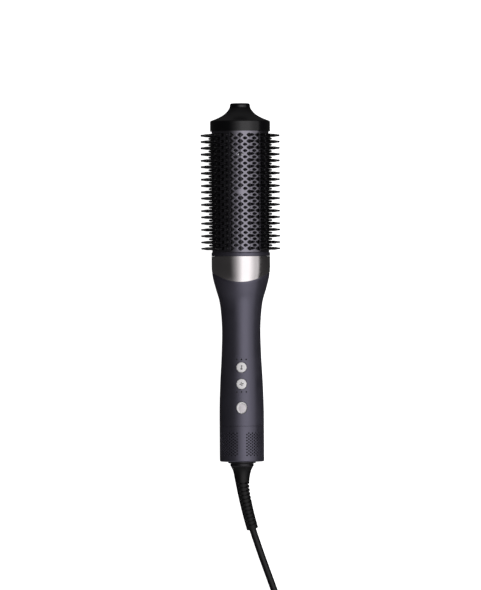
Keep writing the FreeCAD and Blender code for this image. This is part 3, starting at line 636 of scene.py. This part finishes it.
def paved(places, radius, low, high):
    """Lay (tile, x, station) diamonds side by side, cut them off at both ends and roll them into a tube."""
    shape = bmesh.new()
    for mesh, x, station in places:
        before = len(shape.verts)
        shape.from_mesh(mesh)
        shape.verts.ensure_lookup_table()
        for v in shape.verts[before:]:
            v.co.x += x * MM
            v.co.y += station * MM
    for station, facing in ((low, -1), (high, 1)):
        bmesh.ops.bisect_plane(shape, geom=[*shape.verts, *shape.edges, *shape.faces], dist=1e-7,
                               plane_co=(0, station * MM, 0), plane_no=(0, facing, 0), clear_outer=True)
    for v in shape.verts:
        turn = v.co.x / (radius * MM)
        reach = radius * MM + v.co.z
        v.co.x, v.co.z = reach * math.sin(turn), reach * math.cos(turn)
    joined(shape)
    for mesh in {place[0] for place in places}:
        bpy.data.meshes.remove(mesh)
    return shape


def rim_of(shape, station, radius):
    """The open edges that lie at a station, on one side of the wall."""
    return [e for e in shape.edges if e.is_boundary and all(
        abs(v.co.y / MM - station) < 0.01 and abs(math.hypot(v.co.x, v.co.z) / MM - radius) < 0.05
        for v in e.verts)]


def turn_rim(shape, edges, profile):
    """Carry an open rim along a profile of (radius, station) points."""
    for radius, station in profile:
        def place(p, radius=radius, station=station):
            scale = radius / math.hypot(p.x, p.z)
            return p.x * scale, station, p.z * scale
        edges = move_loop(shape, edges, place)


SLEEVE_R, SLEEVE_WALL, SLEEVE_LOW, SLEEVE_HIGH = 20.0, 1.3, 1.5, 32.2
INLET_COLUMNS, INLET_ROWS, INLET_FIRST, INLET_PITCH = 68, 8, 6.3, 2.65
HOLE_R = 0.67
BLANK_TURN = 9
GRAPHITE = (0.124, 0.119, 0.156)
inlet_step = 2 * math.pi * SLEEVE_R / INLET_COLUMNS


def round_hole(radius, height):
    turns = [math.radians(30 * i) for i in range(12)]
    return [(radius * math.cos(turn), radius * math.sin(turn), height) for turn in turns]


hole_rings = [round_hole(HOLE_R + wider, -depth)
              for wider, depth in ((0.13, 0), (0.04, 0.04), (0, 0.14), (0, SLEEVE_WALL))]
pierced = tile(inlet_step, INLET_PITCH / 2, spots(3), SLEEVE_WALL, hole_rings)
plain = tile(inlet_step, INLET_PITCH / 2, spots(3), SLEEVE_WALL)
places = []
for column in range(INLET_COLUMNS):
    degrees = 360 / INLET_COLUMNS * (column + 0.5)
    blank = min(degrees % 180, 180 - degrees % 180) < BLANK_TURN
    for row in range(-3, 12):
        kind = plain if blank or not 0 <= row < INLET_ROWS else pierced
        station = INLET_FIRST + INLET_PITCH * (row + 0.5 * (column % 2))
        places.append((kind, inlet_step * (column + 0.5), station))
sleeve = paved(places, SLEEVE_R, SLEEVE_LOW, SLEEVE_HIGH)
turn_rim(sleeve, rim_of(sleeve, SLEEVE_LOW, SLEEVE_R), [
    (19.84, 0.9), (19.45, 0.46), (18.8, 0.3), (15.8, 0.3), (15.6, 0.5), (15.6, 1.5), (18.7, SLEEVE_LOW)])
turn_rim(sleeve, rim_of(sleeve, SLEEVE_HIGH, SLEEVE_R), [
    (19.93, 32.38), (19.75, 32.46), (18.9, 32.46), (18.7, SLEEVE_HIGH)])
joined(sleeve)
inlet_finish = finish_of("graphite_inlet", GRAPHITE, 0.36, grain=1600, relief=0.12, mottle=0.05,
                         metallic=0.72)
fit("inlet_ring", sleeve, inlet_finish, "inlet", "inlet_sleeve")

# The screen is coloured near black as painted shade: it keeps the inlet's holes dark, as shade inside them
# would.
screen_black_as_shade = finish_of("screen_black_as_shade", (0.03, 0.03, 0.032), 0.5, grain=2400, relief=0.8, mottle=0.4,
                         metallic=1.0)
refinish(screen_black_as_shade, "filter_screen")
end_outline = [(8.75, -1.2), (12.1, -1.2), (12.4, -0.9), (12.4, 0.3), (15.15, 0.3), (15.2, 0.4), (15.2, 2.1),
               (10.8, 2.1), (10.8, 9.0), (8.75, 9.0)]
fit("end_plate", turned(end_outline), dark_nylon, "handle", "end_cap", soften=0.2)


# Handle shells. Two halves moulded in ABS with a graphite soft-touch lacquer, screwed together from the back.
# They meet in a fine line at the sides and step down under the bright band.

NECK_TOP, NECK_R = 185.0, 26.3
HANDLE_LINE = [(32.6, 20.0), (50, 19.9), (72, 19.15), (94, 17.95), (116, 17.3), (130, 17.8), (144.5, 19.5),
               (155.5, 22.65), (166.5, 25.4), (176.5, NECK_R), (NECK_TOP, NECK_R)]


def handle_radius(station):
    """The handle's outline: a smooth waist between its straight ends."""
    line = HANDLE_LINE
    slopes = [0.0] + [(c[1] - a[1]) / (c[0] - a[0]) for a, c in zip(line, line[2:])] + [0.0]
    slopes[-2] = 0.0
    for i, (a, b) in enumerate(zip(line, line[1:])):
        if station <= b[0] or i == len(line) - 2:
            span = b[0] - a[0]
            t = min(1.0, max(0.0, (station - a[0]) / span))
            return (a[1] * (2 * t ** 3 - 3 * t ** 2 + 1) + b[1] * (3 * t ** 2 - 2 * t ** 3)
                    + slopes[i] * span * (t ** 3 - 2 * t ** 2 + t) + slopes[i + 1] * span * (t ** 3 - t ** 2))
    return line[-1][1]


BAND_FRONT, BAND_RISE, BAND_SKIN = 161.8, 8.8, 0.35
FINE_HALF, FINE_CELLS, SIDE_CELLS = 6.45, 12, 14
SEAM_TURN = math.radians(89.82)
RISE_FROM = 140


def band_edge(turn):
    """Station of the band's lower edge on the line that lies at this turn from the front."""
    station = 166.0
    for _ in range(8):
        station = BAND_FRONT + BAND_RISE * (handle_radius(station) * math.sin(turn) / NECK_R) ** 2
    return station


def stations_between(marks):
    """Stations from a list of (station, cells up to the next one)."""
    found = []
    for (low, cells), (high, _) in zip(marks, marks[1:]):
        found += [low + (high - low) * i / cells for i in range(cells)]
    return found + [marks[-1][0]]


def panel(columns, stations):
    """A flat grid; its corners are moved to whole numbers, the column and the row."""
    shape = bmesh.new()
    bmesh.ops.create_grid(shape, x_segments=columns, y_segments=len(stations) - 1, size=0.5)
    for v in shape.verts:
        v.co.x, v.co.y = round((v.co.x + 0.5) * columns), round((v.co.y + 0.5) * (len(stations) - 1))
    return shape


def spot_of(v):
    """A corner's place as whole numbers, to find it again after it was extruded."""
    return tuple(round(c * 1e7) for c in v.co)


def shell_half(facing, marks, openings):
    """One half of the handle. An opening is (across, station, half width, half height, cells each way)."""
    stations = stations_between(marks)
    columns = FINE_CELLS + 2 * SIDE_CELLS
    shape = panel(columns, stations)
    cell = 2 * FINE_HALF / FINE_CELLS
    middle = columns / 2
    holes = []
    for across, station, _, _, cells in openings:
        row = min(range(len(stations)), key=lambda n: abs(stations[n] - station))
        column = middle + across / cell
        reach = cells / 2
        inside = [f for f in shape.faces if abs(f.calc_center_median().x - column) < reach
                  and abs(f.calc_center_median().y - row) < reach]
        rim = {e for f in inside for e in f.edges if sum(g in inside for g in e.link_faces) == 1}
        bmesh.ops.delete(shape, geom=inside, context="FACES")
        edges = [e for e in rim if e.is_valid]
        if cells < 4:
            bmesh.ops.subdivide_edges(shape, edges=edges, cuts=1)
            edges = [e for e in shape.edges if e.is_boundary and all(
                abs(v.co.x - column) < reach + 0.01 and abs(v.co.y - row) < reach + 0.01 for v in e.verts)]
        holes.append((edges, column, row, reach))
    squares = [{v: ((v.co.x - column) / reach, (v.co.y - row) / reach) for e in edges for v in e.verts}
               for edges, column, row, reach in holes]

    def lay(x, y):
        """Place of a grid point on the handle."""
        side = x - middle
        low = min(int(y), len(stations) - 2)
        station = stations[low] + (stations[low + 1] - stations[low]) * (y - low)
        reach = handle_radius(station)
        fine = math.asin(FINE_HALF / reach)
        if abs(side) <= FINE_CELLS / 2:
            turn = math.asin(side * cell / reach)
        else:
            share = (abs(side) - FINE_CELLS / 2) / SIDE_CELLS
            turn = math.copysign(fine + (SEAM_TURN - fine) * share, side)
        rise = band_edge(turn) - BAND_FRONT
        pull = min(1.0, max(0.0, (station - RISE_FROM) / (BAND_FRONT - 0.6 - RISE_FROM)))
        pull *= min(1.0, max(0.0, (NECK_TOP - station) / (NECK_TOP - BAND_FRONT)))
        sunk = BAND_SKIN if station > BAND_FRONT - 0.1 else 0.0
        station += rise * pull
        reach = handle_radius(station) - sunk
        return Vector((reach * math.sin(turn), station, reach * math.cos(turn)))

    for v, place in {v: lay(v.co.x, v.co.y) for v in shape.verts}.items():
        v.co = place * MM
    for (edges, *_), square, (across, station, half_w, half_h, _) in zip(holes, squares, openings):
        turns = {}
        for v, (sx, sy) in square.items():
            if abs(sx) >= abs(sy):
                angle = math.radians(45) * sy / abs(sx)
                angle = angle if sx > 0 else math.pi - angle
            else:
                angle = math.radians(90) - math.radians(45) * sx / abs(sy)
                angle = angle if sy > 0 else -angle
            turns[spot_of(v)] = angle
        for wider in ((0.5, 0.12, 0.0) if half_w > 1 else (0.12, 0.0)):
            fresh, edges = grow(shape, edges)
            turned_to = {}
            for v in fresh:
                angle = turns[spot_of(v)]
                x = across + (half_w + wider) * math.cos(angle)
                y = station + (half_h + wider) * math.sin(angle)
                v.co = Vector((x, y, math.sqrt(handle_radius(y) ** 2 - x * x))) * MM
                turned_to[spot_of(v)] = angle
            turns = turned_to
    if facing < 0:
        bmesh.ops.rotate(shape, verts=shape.verts, cent=(0, 0, 0), matrix=Matrix.Rotation(math.pi, 3, "Y"))
    bmesh.ops.recalc_face_normals(shape, faces=shape.faces)
    middles = [(f.normal, f.calc_center_median()) for f in shape.faces]
    if sum(normal.x * spot.x + normal.z * spot.z for normal, spot in middles) < 0:
        bmesh.ops.reverse_faces(shape, faces=shape.faces)
    return shape


KEY_SLIT = 0.35
HEAT_KEY, SPEED_KEY, POWER_KEY = (85.2, 4.55, 4.55), (70.3, 4.55, 4.55), (49.0, 4.75, 5.2)
LAMP_ROWS, LAMP_PITCH, LAMP_R = (92.3, 63.2), 4.3, 0.55
NECK_ROWS = [(140.0, 14), (161.1, 1), (161.78, 14), (NECK_TOP, 0)]
front_rows = [(32.56, 8), (42.4, 12), (55.6, 5), (62.2, 2), (64.2, 1), (64.42, 12), (76.18, 3), (79.32, 12),
              (91.08, 1), (91.3, 2), (93.3, 30)] + NECK_ROWS
LAMP_SPOTS = [(x, station) for station in LAMP_ROWS for x in (-LAMP_PITCH, 0, LAMP_PITCH)]
LAMP_HOLE_R = LAMP_R + 0.08
front_holes = [(0, station, half_w + KEY_SLIT, half_h + KEY_SLIT, 12)
               for station, half_w, half_h in (HEAT_KEY, SPEED_KEY, POWER_KEY)]
front_holes += [(x, station, LAMP_HOLE_R, LAMP_HOLE_R, 2) for x, station in LAMP_SPOTS]
graphite = finish_of("graphite_lacquer", GRAPHITE, 0.37, grain=2200, relief=0.10, mottle=0.05, metallic=0.72)
fit("shell_front", shell_half(1, front_rows, front_holes), graphite, "handle", "front_shell",
    wall=1.8, soften=0.12)

SCREWS = (41.0, 95.0)
WELL_R = 2.6
rear_rows = [(32.56, 4), (37.0, 6), (45.0, 23), (91.0, 6), (99.0, 22)] + NECK_ROWS
rear = shell_half(-1, rear_rows, [(0, station, WELL_R, WELL_R, 6) for station in SCREWS])
for station in SCREWS:
    rim = [e for e in rear.edges if e.is_boundary and all(
        math.hypot(v.co.x / MM, v.co.y / MM - station) < WELL_R + 0.1 for v in e.verts)]
    for reach, depth in ((WELL_R, -16.4), (WELL_R, -13.0), (1.6, -13.0), (1.6, -12.0)):
        def sink(p, reach=reach, depth=depth, station=station):
            scale = reach / math.hypot(p.x, p.y - station)
            return p.x * scale, station + (p.y - station) * scale, depth
        rim = move_loop(rear, rim, sink)
bmesh.ops.recalc_face_normals(rear, faces=rear.faces)
backs = [f for f in rear.faces if abs(f.normal.z) > 0.5 and f.calc_center_median().z < -16.5 * MM]
if sum(f.normal.z * f.calc_area() for f in backs) > 0:
    bmesh.ops.reverse_faces(rear, faces=rear.faces)
fit("shell_rear", rear, graphite, "handle", "rear_shell", wall=1.2, soften=0.12)
screw_zinc = finish_of("screw_zinc", (0.5, 0.5, 0.5), 0.3, grain=500, metallic=1.0, mottle=0.2)
refinish(screw_zinc, "shell_screws", "tip_screw")


# Bright band. Deep-drawn stainless sleeve, polished and let in flush with the handle's neck. Its lower edge
# dips at the front and the back and rises at the sides.

BAND_COLUMNS, BAND_CELLS = 96, 18
BAND_LOW, BAND_HIGH = BAND_FRONT + 0.04, NECK_TOP - 0.1
band_rows = [BAND_LOW + (BAND_HIGH - BAND_LOW) * i / BAND_CELLS for i in range(BAND_CELLS + 1)]
band = panel(BAND_COLUMNS, band_rows)
for v in band.verts:
    turn = 2 * math.pi * v.co.x / BAND_COLUMNS
    station = band_rows[round(v.co.y)]
    station += (band_edge(turn) - BAND_FRONT) * (BAND_HIGH - station) / (BAND_HIGH - BAND_LOW)
    reach = handle_radius(station) + 0.02
    v.co = Vector((reach * math.sin(turn), station, reach * math.cos(turn))) * MM
bmesh.ops.remove_doubles(band, verts=band.verts, dist=1e-6)
bmesh.ops.recalc_face_normals(band, faces=band.faces)
polished = finish_of("polished_band", (0.80, 0.765, 0.765), 0.2, relief=0.05, mottle=0.03, metallic=1.0,
                     drift=0.03, stretch=(1, 0.05, 1))
fit("bright_sleeve", band, polished, "handle", "neck_band", wall=0.33, soften=0.1)


# Keys. Three push buttons in satin silver, each with a shallow dome and a flange behind the shell. The heat
# key carries a thermometer, the speed key a fan wheel, both printed; the power key has a raised crescent lip.

KEY_STANDS_OUT, DOME_CURVE = 0.55, 76
FLANGE_LOW, FLANGE_HIGH, FLANGE_OUT = 14.2, 15.2, 0.9


def key_top(key, radius):
    """Height of a key's dome over the brush's axis."""
    return handle_radius(key[0]) + KEY_STANDS_OUT - radius * radius / DOME_CURVE


def key_shape(key):
    """A key with its flange. Its outline is drawn for its length and narrowed to its width."""
    station, half_w, half_h = key
    outline = [(r * half_h, key_top(key, r * half_h)) for r in (0, 0.2, 0.4, 0.55, 0.66, 0.74, 0.81, 0.87)]
    edge = key_top(key, half_h)
    outline += [(half_h - 0.30, edge), (half_h - 0.12, edge - 0.08), (half_h - 0.03, edge - 0.2),
                (half_h, edge - 0.42), (half_h, FLANGE_HIGH), (half_h + FLANGE_OUT, FLANGE_HIGH),
                (half_h + FLANGE_OUT, FLANGE_LOW), (0, FLANGE_LOW)]
    shape = turned(outline, axis=(0, 0, 1), centre=(0, station, 0), closed=False)
    bmesh.ops.scale(shape, verts=shape.verts, vec=(half_w / half_h, 1, 1))
    return shape


INK_THICK = 0.022


def print_on(key, shape):
    """Lay flat artwork, drawn about the origin in millimetres, on a key's dome as a film of ink."""
    bmesh.ops.subdivide_edges(shape, edges=[e for e in shape.edges if e.calc_length() > 0.6], cuts=2)
    for v in shape.verts:
        x, y = v.co.x, v.co.y
        v.co = Vector((x, key[0] + y, key_top(key, math.hypot(x, y)) + INK_THICK)) * MM
    bmesh.ops.recalc_face_normals(shape, faces=shape.faces)
    for f in shape.faces:
        if f.normal.z < 0:
            f.normal_flip()
    return shape


def blob(shape, radius, x, y, tall=1.0):
    """A filled round or oval spot."""
    made = bmesh.ops.create_circle(shape, cap_ends=True, segments=16, radius=radius)["verts"]
    bmesh.ops.scale(shape, verts=made, vec=(1, tall, 1))
    bmesh.ops.translate(shape, verts=made, vec=(x, y, 0))
    return made


def stroke(shape, width, height, x, y, cells=1):
    """A filled upright bar."""
    made = bmesh.ops.create_grid(shape, x_segments=1, y_segments=cells, size=0.5)["verts"]
    bmesh.ops.scale(shape, verts=made, vec=(width, height, 1))
    bmesh.ops.translate(shape, verts=made, vec=(x, y, 0))


satin_silver = finish_of("satin_silver", (0.96, 0.95, 0.955), 0.32, grain=1800, relief=0.08, mottle=0.03,
                         metallic=0.2, drift=0.05)
icon_ink = finish_of("icon_ink", (0.26, 0.25, 0.25), 0.5, grain=1500, relief=0.1, mottle=0.1)
fit("heat_push", key_shape(HEAT_KEY), satin_silver, "heat_key", "heat_button", smooth=50)
fit("speed_push", key_shape(SPEED_KEY), satin_silver, "speed_key", "speed_button", smooth=50)

thermometer = bmesh.new()
blob(thermometer, 0.95, 0, -1.25)
blob(thermometer, 0.45, 0, 1.65)
stroke(thermometer, 0.90, 2.6, 0, 0.35, cells=6)
for i in range(3):
    stroke(thermometer, 0.65, 0.24, 1.15, 0.15 + 0.62 * i)
fit("heat_icon", print_on(HEAT_KEY, thermometer), icon_ink, "heat_key")

wheel = bmesh.new()
blob(wheel, 0.32, 0, 0)
for i in range(4):
    blade = blob(wheel, 0.58, 0.16, 1.15, tall=1.3)
    turn = math.radians(90 * i + 20)
    bmesh.ops.rotate(wheel, verts=blade, cent=(0, 0, 0), matrix=Matrix.Rotation(turn, 3, "Z"))
fit("speed_icon", print_on(SPEED_KEY, wheel), icon_ink, "speed_key")

DISH_DEEP, LIP_RAISED = 0.5, 0.16


def in_dish(p):
    """How far inside the power key's dish a point lies, as a share of the dish."""
    return 1 - math.hypot((p.x / MM - 0.45) / 4.15, (p.y / MM - POWER_KEY[0] + 0.55) / 4.45)


power = key_shape(POWER_KEY)
power_top = key_top(POWER_KEY, POWER_KEY[2]) * MM
for v in power.verts:
    if v.co.z > power_top - 0.3 * MM:
        inside = in_dish(v.co)
        v.co.z -= DISH_DEEP * eased(inside / 0.12) * MM
        v.co.z += LIP_RAISED * eased((0.04 - inside) / 0.06) * MM
for f in power.faces:
    middle = f.calc_center_median()
    if in_dish(middle) > 0.07 and middle.z > power_top - 1.5 * MM:
        f.material_index = 1
power_push = fit("power_push", power, satin_silver, "power_key", "power_button", smooth=60)
power_push.data.materials.append(finish_of("brushed_face", (0.78, 0.745, 0.77), 0.34, grain=1800, relief=0.1,
                                           metallic=0.35, stretch=(1, 0.08, 1)))
refinish(finish_of("key_silicone", (0.05, 0.05, 0.055), 0.6), "key_mat")


# Lamps. Two rows of three small lenses, smoked so that they stay dark until they light.

smoked = finish_of("smoked_lens", (0.006, 0.006, 0.007), 0.12, grain=600, relief=0.05)
lamps = bmesh.new()
for x, station in LAMP_SPOTS:
    height = math.sqrt(handle_radius(station) ** 2 - x * x)
    lens = turned([(0, height + 0.02), (0.25, height - 0.01), (0.45, height - 0.09), (LAMP_R, height - 0.28),
                   (LAMP_R, 11.0), (0, 11.0)], steps=20, axis=(0, 0, 1), centre=(x, station, 0), closed=False)
    mesh = as_mesh("lens", lens)
    lamps.from_mesh(mesh)
    bpy.data.meshes.remove(mesh)
fit("lamp_lens_rows", lamps, smoked, "handle", "lamp_lenses", smooth=50)


# Inside the handle. Spine, control board with its parts, leads, and the fan with its motor in a rubber
# sleeve.

refinish(finish_of("spine_plastic", (0.03, 0.03, 0.032), 0.55), "chassis", "fan_housing", "tip_carrier")
refinish(finish_of("board_laminate", (0.02, 0.09, 0.04), 0.35, grain=1800, relief=0.3, mottle=0.25),
         "control_board")
refinish(finish_of("component_black", (0.02, 0.02, 0.022), 0.4, grain=1200), "board_parts")
refinish(finish_of("cushion_rubber", (0.025, 0.025, 0.026), 0.75, grain=1400, relief=0.4), "fan_cushion")
refinish(finish_of("motor_steel", (0.5, 0.5, 0.5), 0.35, grain=700, metallic=1.0, stretch=(1, 10, 1)),
         "motor_can", "motor_rotor")
refinish(finish_of("impeller_nylon", (0.35, 0.35, 0.36), 0.45), "fan_impeller")
refinish(finish_of("lead_pvc", (0.30, 0.02, 0.02), 0.4), "power_leads")


# Barrel socket. A dark moulded ring between the handle and the barrel, on which the barrel stands.

collar_outline = [(20.6, 177.0), (23.4, 177.0), (23.4, 185.2), (26.3, 185.2), (26.3, 187.9), (25.9, 188.6),
                  (25.4, 188.8), (23.1, 188.8), (23.1, 194.0), (20.6, 194.0)]
collar_plastic = finish_of("collar_plastic", (0.13, 0.125, 0.16), 0.35, grain=1500, relief=0.15, mottle=0.08,
                           metallic=0.8)
fit("barrel_socket", turned(collar_outline), collar_plastic, "handle", "barrel_collar",
    soften=0.15)


# Bristles. Eighteen long strips and eighteen short ones, moulded in heat-proof nylon. Each is a bar behind
# the barrel's wall with its bristles standing out through the openings.

COLUMNS, LONG_ROWS, LONG_FIRST, ROW_PITCH, BLANK_ROW = 18, 19, 191.9, 5.65, 9
COLUMN_TURN = 360 / COLUMNS
BAR_LENGTH, BAR_THICK, BAR_MIDDLE, BAR_OUT = 107.0, 0.95, 242.9, 23.975


def strip(stations, width, profile, steps, turns):
    """Bars with bristles at the stations, one strip for each turn about the axis."""
    bristle = as_mesh("bristle", turned(profile, steps=steps, axis=(0, 0, 1), closed=False))
    block = bmesh.new()
    made = bmesh.ops.create_cube(block, size=MM)["verts"]
    bmesh.ops.scale(block, verts=made, vec=(width, BAR_LENGTH, BAR_THICK))
    bmesh.ops.translate(block, verts=made, vec=Vector((0, BAR_MIDDLE, BAR_OUT)) * MM)
    bmesh.ops.bevel(block, geom=block.edges[:], offset=0.15 * MM, offset_type="OFFSET", segments=2,
                    profile=0.5, affect="EDGES", material=-1)
    bar = as_mesh("bar", block)
    row = bmesh.new()
    for station in stations:
        before = len(row.verts)
        row.from_mesh(bristle)
        row.verts.ensure_lookup_table()
        for v in row.verts[before:]:
            v.co.y += station * MM
    row.from_mesh(bar)
    bpy.data.meshes.remove(bristle)
    bpy.data.meshes.remove(bar)
    whole = bmesh.new()
    flat = as_mesh("row", row)
    for degrees in turns:
        before = len(whole.verts)
        whole.from_mesh(flat)
        whole.verts.ensure_lookup_table()
        bmesh.ops.rotate(whole, verts=whole.verts[before:], cent=(0, 0, 0),
                         matrix=Matrix.Rotation(math.radians(degrees), 3, "Y"))
    bpy.data.meshes.remove(flat)
    return whole


nylon = finish_of("bristle_nylon", (0.004, 0.004, 0.0045), 0.3, grain=1400, relief=0.2, mottle=0.15)
long_profile = [(0, 36.1), (0.38, 36.04), (0.68, 35.82), (0.83, 35.45), (0.86, 35.0), (0.83, 34.6),
                (0.88, 34.0), (1.02, 33.2), (1.26, 31.9), (1.42, 30.6), (1.45, 29.6), (1.34, 28.0),
                (1.12, 26.4), (1.0, 24.2)]
for column in range(COLUMNS):
    rows = [LONG_FIRST + ROW_PITCH * i for i in range(LONG_ROWS) if column or i != BLANK_ROW]
    column_strip = strip(rows, 2.8, long_profile, 10, [COLUMN_TURN * column])
    fit(f"long_bristles_{column + 1:02d}", column_strip, nylon, "handle",
        f"bristle_strip_{column + 1:02d}", smooth=60)
short_profile = [(0, 28.7), (0.42, 28.6), (0.7, 28.32), (0.84, 27.9), (1.0, 27.2), (1.04, 26.4), (0.95, 24.2)]
short_rows = [LONG_FIRST + ROW_PITCH * (i + 0.5) for i in range(LONG_ROWS - 1)]
short_strips = strip(short_rows, 2.2, short_profile, 8, [COLUMN_TURN * (i + 0.5) for i in range(COLUMNS)])
fit("short_bristles", short_strips, nylon, "handle", "short_bristle_strips", smooth=60)


# Barrel. Thin aluminium tube with a dark titanium coat, pierced by almond openings in staggered rows. Their
# punched edges are slightly rounded. The front column has one plain spot.

BARREL_R, BARREL_WALL, BARREL_LOW, BARREL_HIGH = 25.65, 0.8, 188.6, 302.0
LONG_OPENING, SHORT_OPENING = (5.5, 3.1), (4.2, 2.45)
PIN_R = 0.45
RIGHT, TOP, LEFT, BOTTOM = range(4)
barrel_step = math.pi * BARREL_R / COLUMNS
barrel_side = math.hypot(barrel_step, ROW_PITCH / 2)


def almond(width, height, places, depth):
    """Places on an almond opening that match the places round its diamond."""
    a, b = width / 2, height / 2
    bow = (a * a + b * b) / (2 * b)
    found = []
    for side, share, _ in places:
        turn = math.asin(a / bow) * (share if side % 2 else 1 - share)
        across, up = bow * math.sin(turn), bow * math.cos(turn) - bow + b
        found.append((across if side in (0, 3) else -across, up if side < 2 else -up, depth))
    return found


def almond_tile(size, cuts):
    """A diamond with an almond opening, its punched edge rounded."""
    places = spots(5, cuts, PIN_R / barrel_side)
    loops = [almond(size[0] + wider, size[1] + taller, places, -depth) for wider, taller, depth in (
        (0.30, 0.26, 0), (0.10, 0.08, 0.04), (0, 0, 0.16), (0, 0, BARREL_WALL))]
    return tile(barrel_step, ROW_PITCH / 2, places, BARREL_WALL, loops, PIN_R)


# Between the openings of a column there is a small round hole: a bite out of each of the four tiles there.
large = almond_tile(LONG_OPENING, (TOP, BOTTOM))
large_first = almond_tile(LONG_OPENING, (TOP,))
large_last = almond_tile(LONG_OPENING, (BOTTOM,))
small = almond_tile(SHORT_OPENING, (RIGHT, LEFT))
whole = tile(barrel_step, ROW_PITCH / 2, spots(5), BARREL_WALL)
bitten = spots(5, (TOP, BOTTOM), PIN_R / barrel_side)
bare = tile(barrel_step, ROW_PITCH / 2, bitten, BARREL_WALL, bite=PIN_R)
places = []
for column in range(2 * COLUMNS):
    for row in range(-1, 21):
        if column % 2:
            kind = small if 0 <= row < LONG_ROWS - 1 else whole
        elif column == 0 and row == BLANK_ROW:
            kind = bare
        else:
            kind = large if 0 < row < LONG_ROWS else whole
            kind = {0: large_first, LONG_ROWS - 1: large_last}.get(row, kind)
        station = LONG_FIRST + ROW_PITCH * (row + 0.5 * (column % 2))
        places.append((kind, barrel_step * column, station))
tube = paved(places, BARREL_R, BARREL_LOW, BARREL_HIGH)
pin_rims = [e for e in tube.edges if e.is_boundary and all(
    BARREL_LOW + 1.4 < v.co.y / MM < BARREL_HIGH - 6 and math.hypot(v.co.x, v.co.z) / MM > BARREL_R - 0.1
    for v in e.verts)]
inside = (BARREL_R - BARREL_WALL) / BARREL_R
move_loop(tube, pin_rims, lambda p: (p.x * inside, p.y, p.z * inside))
for station in (BARREL_LOW, BARREL_HIGH):
    turn_rim(tube, rim_of(tube, station, BARREL_R), [(BARREL_R - BARREL_WALL, station)])
joined(tube)
titanium = finish_of("titanium_coat", (0.235, 0.225, 0.262), 0.24, grain=1300, relief=0.06, mottle=0.05,
                     metallic=1.0, drift=0.04, stretch=(1, 0.2, 1))
fit("pierced_barrel", tube, titanium, "handle", "barrel")


# Heater. Crossed mica plates with the winding, inside a mica-lined steel sleeve; a fuse and a heat shield.

refinish(finish_of("mica_sheet", (0.42, 0.38, 0.30), 0.35, grain=500, mottle=0.3, relief=0.3), "heater_core")
refinish(finish_of("heater_wire", (0.32, 0.27, 0.24), 0.4, metallic=1.0, mottle=0.3), "heater_winding")
refinish(finish_of("heat_tinted_steel", (0.10, 0.095, 0.10), 0.45, grain=700, metallic=1.0, mottle=0.3),
         "heater_sleeve", "heat_shield", "air_spreader", "thermal_fuse")


# Cool tip. A moulded cap over the barrel's end, drawn in by a hollow curve to a flat finger pad.

pad_line = smooth_line([(9.0, 320.9), (9.4, 318.6), (10.6, 316.6), (12.0, 314.8), (13.9, 313.0),
                        (16.5, 311.2), (20.0, 309.4), (23.4, 307.95), (25.9, 307.0)], per_span=3)
cap_outline = [(0, 322.6), (5.0, 322.6), (7.6, 322.58), (8.3, 322.35), (8.8, 321.8)]
cap_outline += [(p.x, p.y) for p in pad_line]
cap_outline += [(26.6, 306.65), (26.92, 306.2), (27.0, 305.6), (27.0, 297.75), (26.93, 297.45), (26.7, 297.3),
                (25.95, 297.3), (25.8, 297.45), (25.8, 302.2), (20.0, 304.5), (9.0, 312.0), (7.0, 319.0),
                (3.6, 319.0), (3.6, 302.3), (1.55, 302.3), (1.55, 319.2), (0, 319.2)]
cap_plastic = finish_of("cap_plastic", (0.004, 0.004, 0.005), 0.22, grain=1500, relief=0.08, mottle=0.1,
                        drift=0.05, Specular_IOR_Level=0.5)
fit("cool_tip", turned(cap_outline, closed=False), cap_plastic, "handle", "tip_cap", smooth=40)
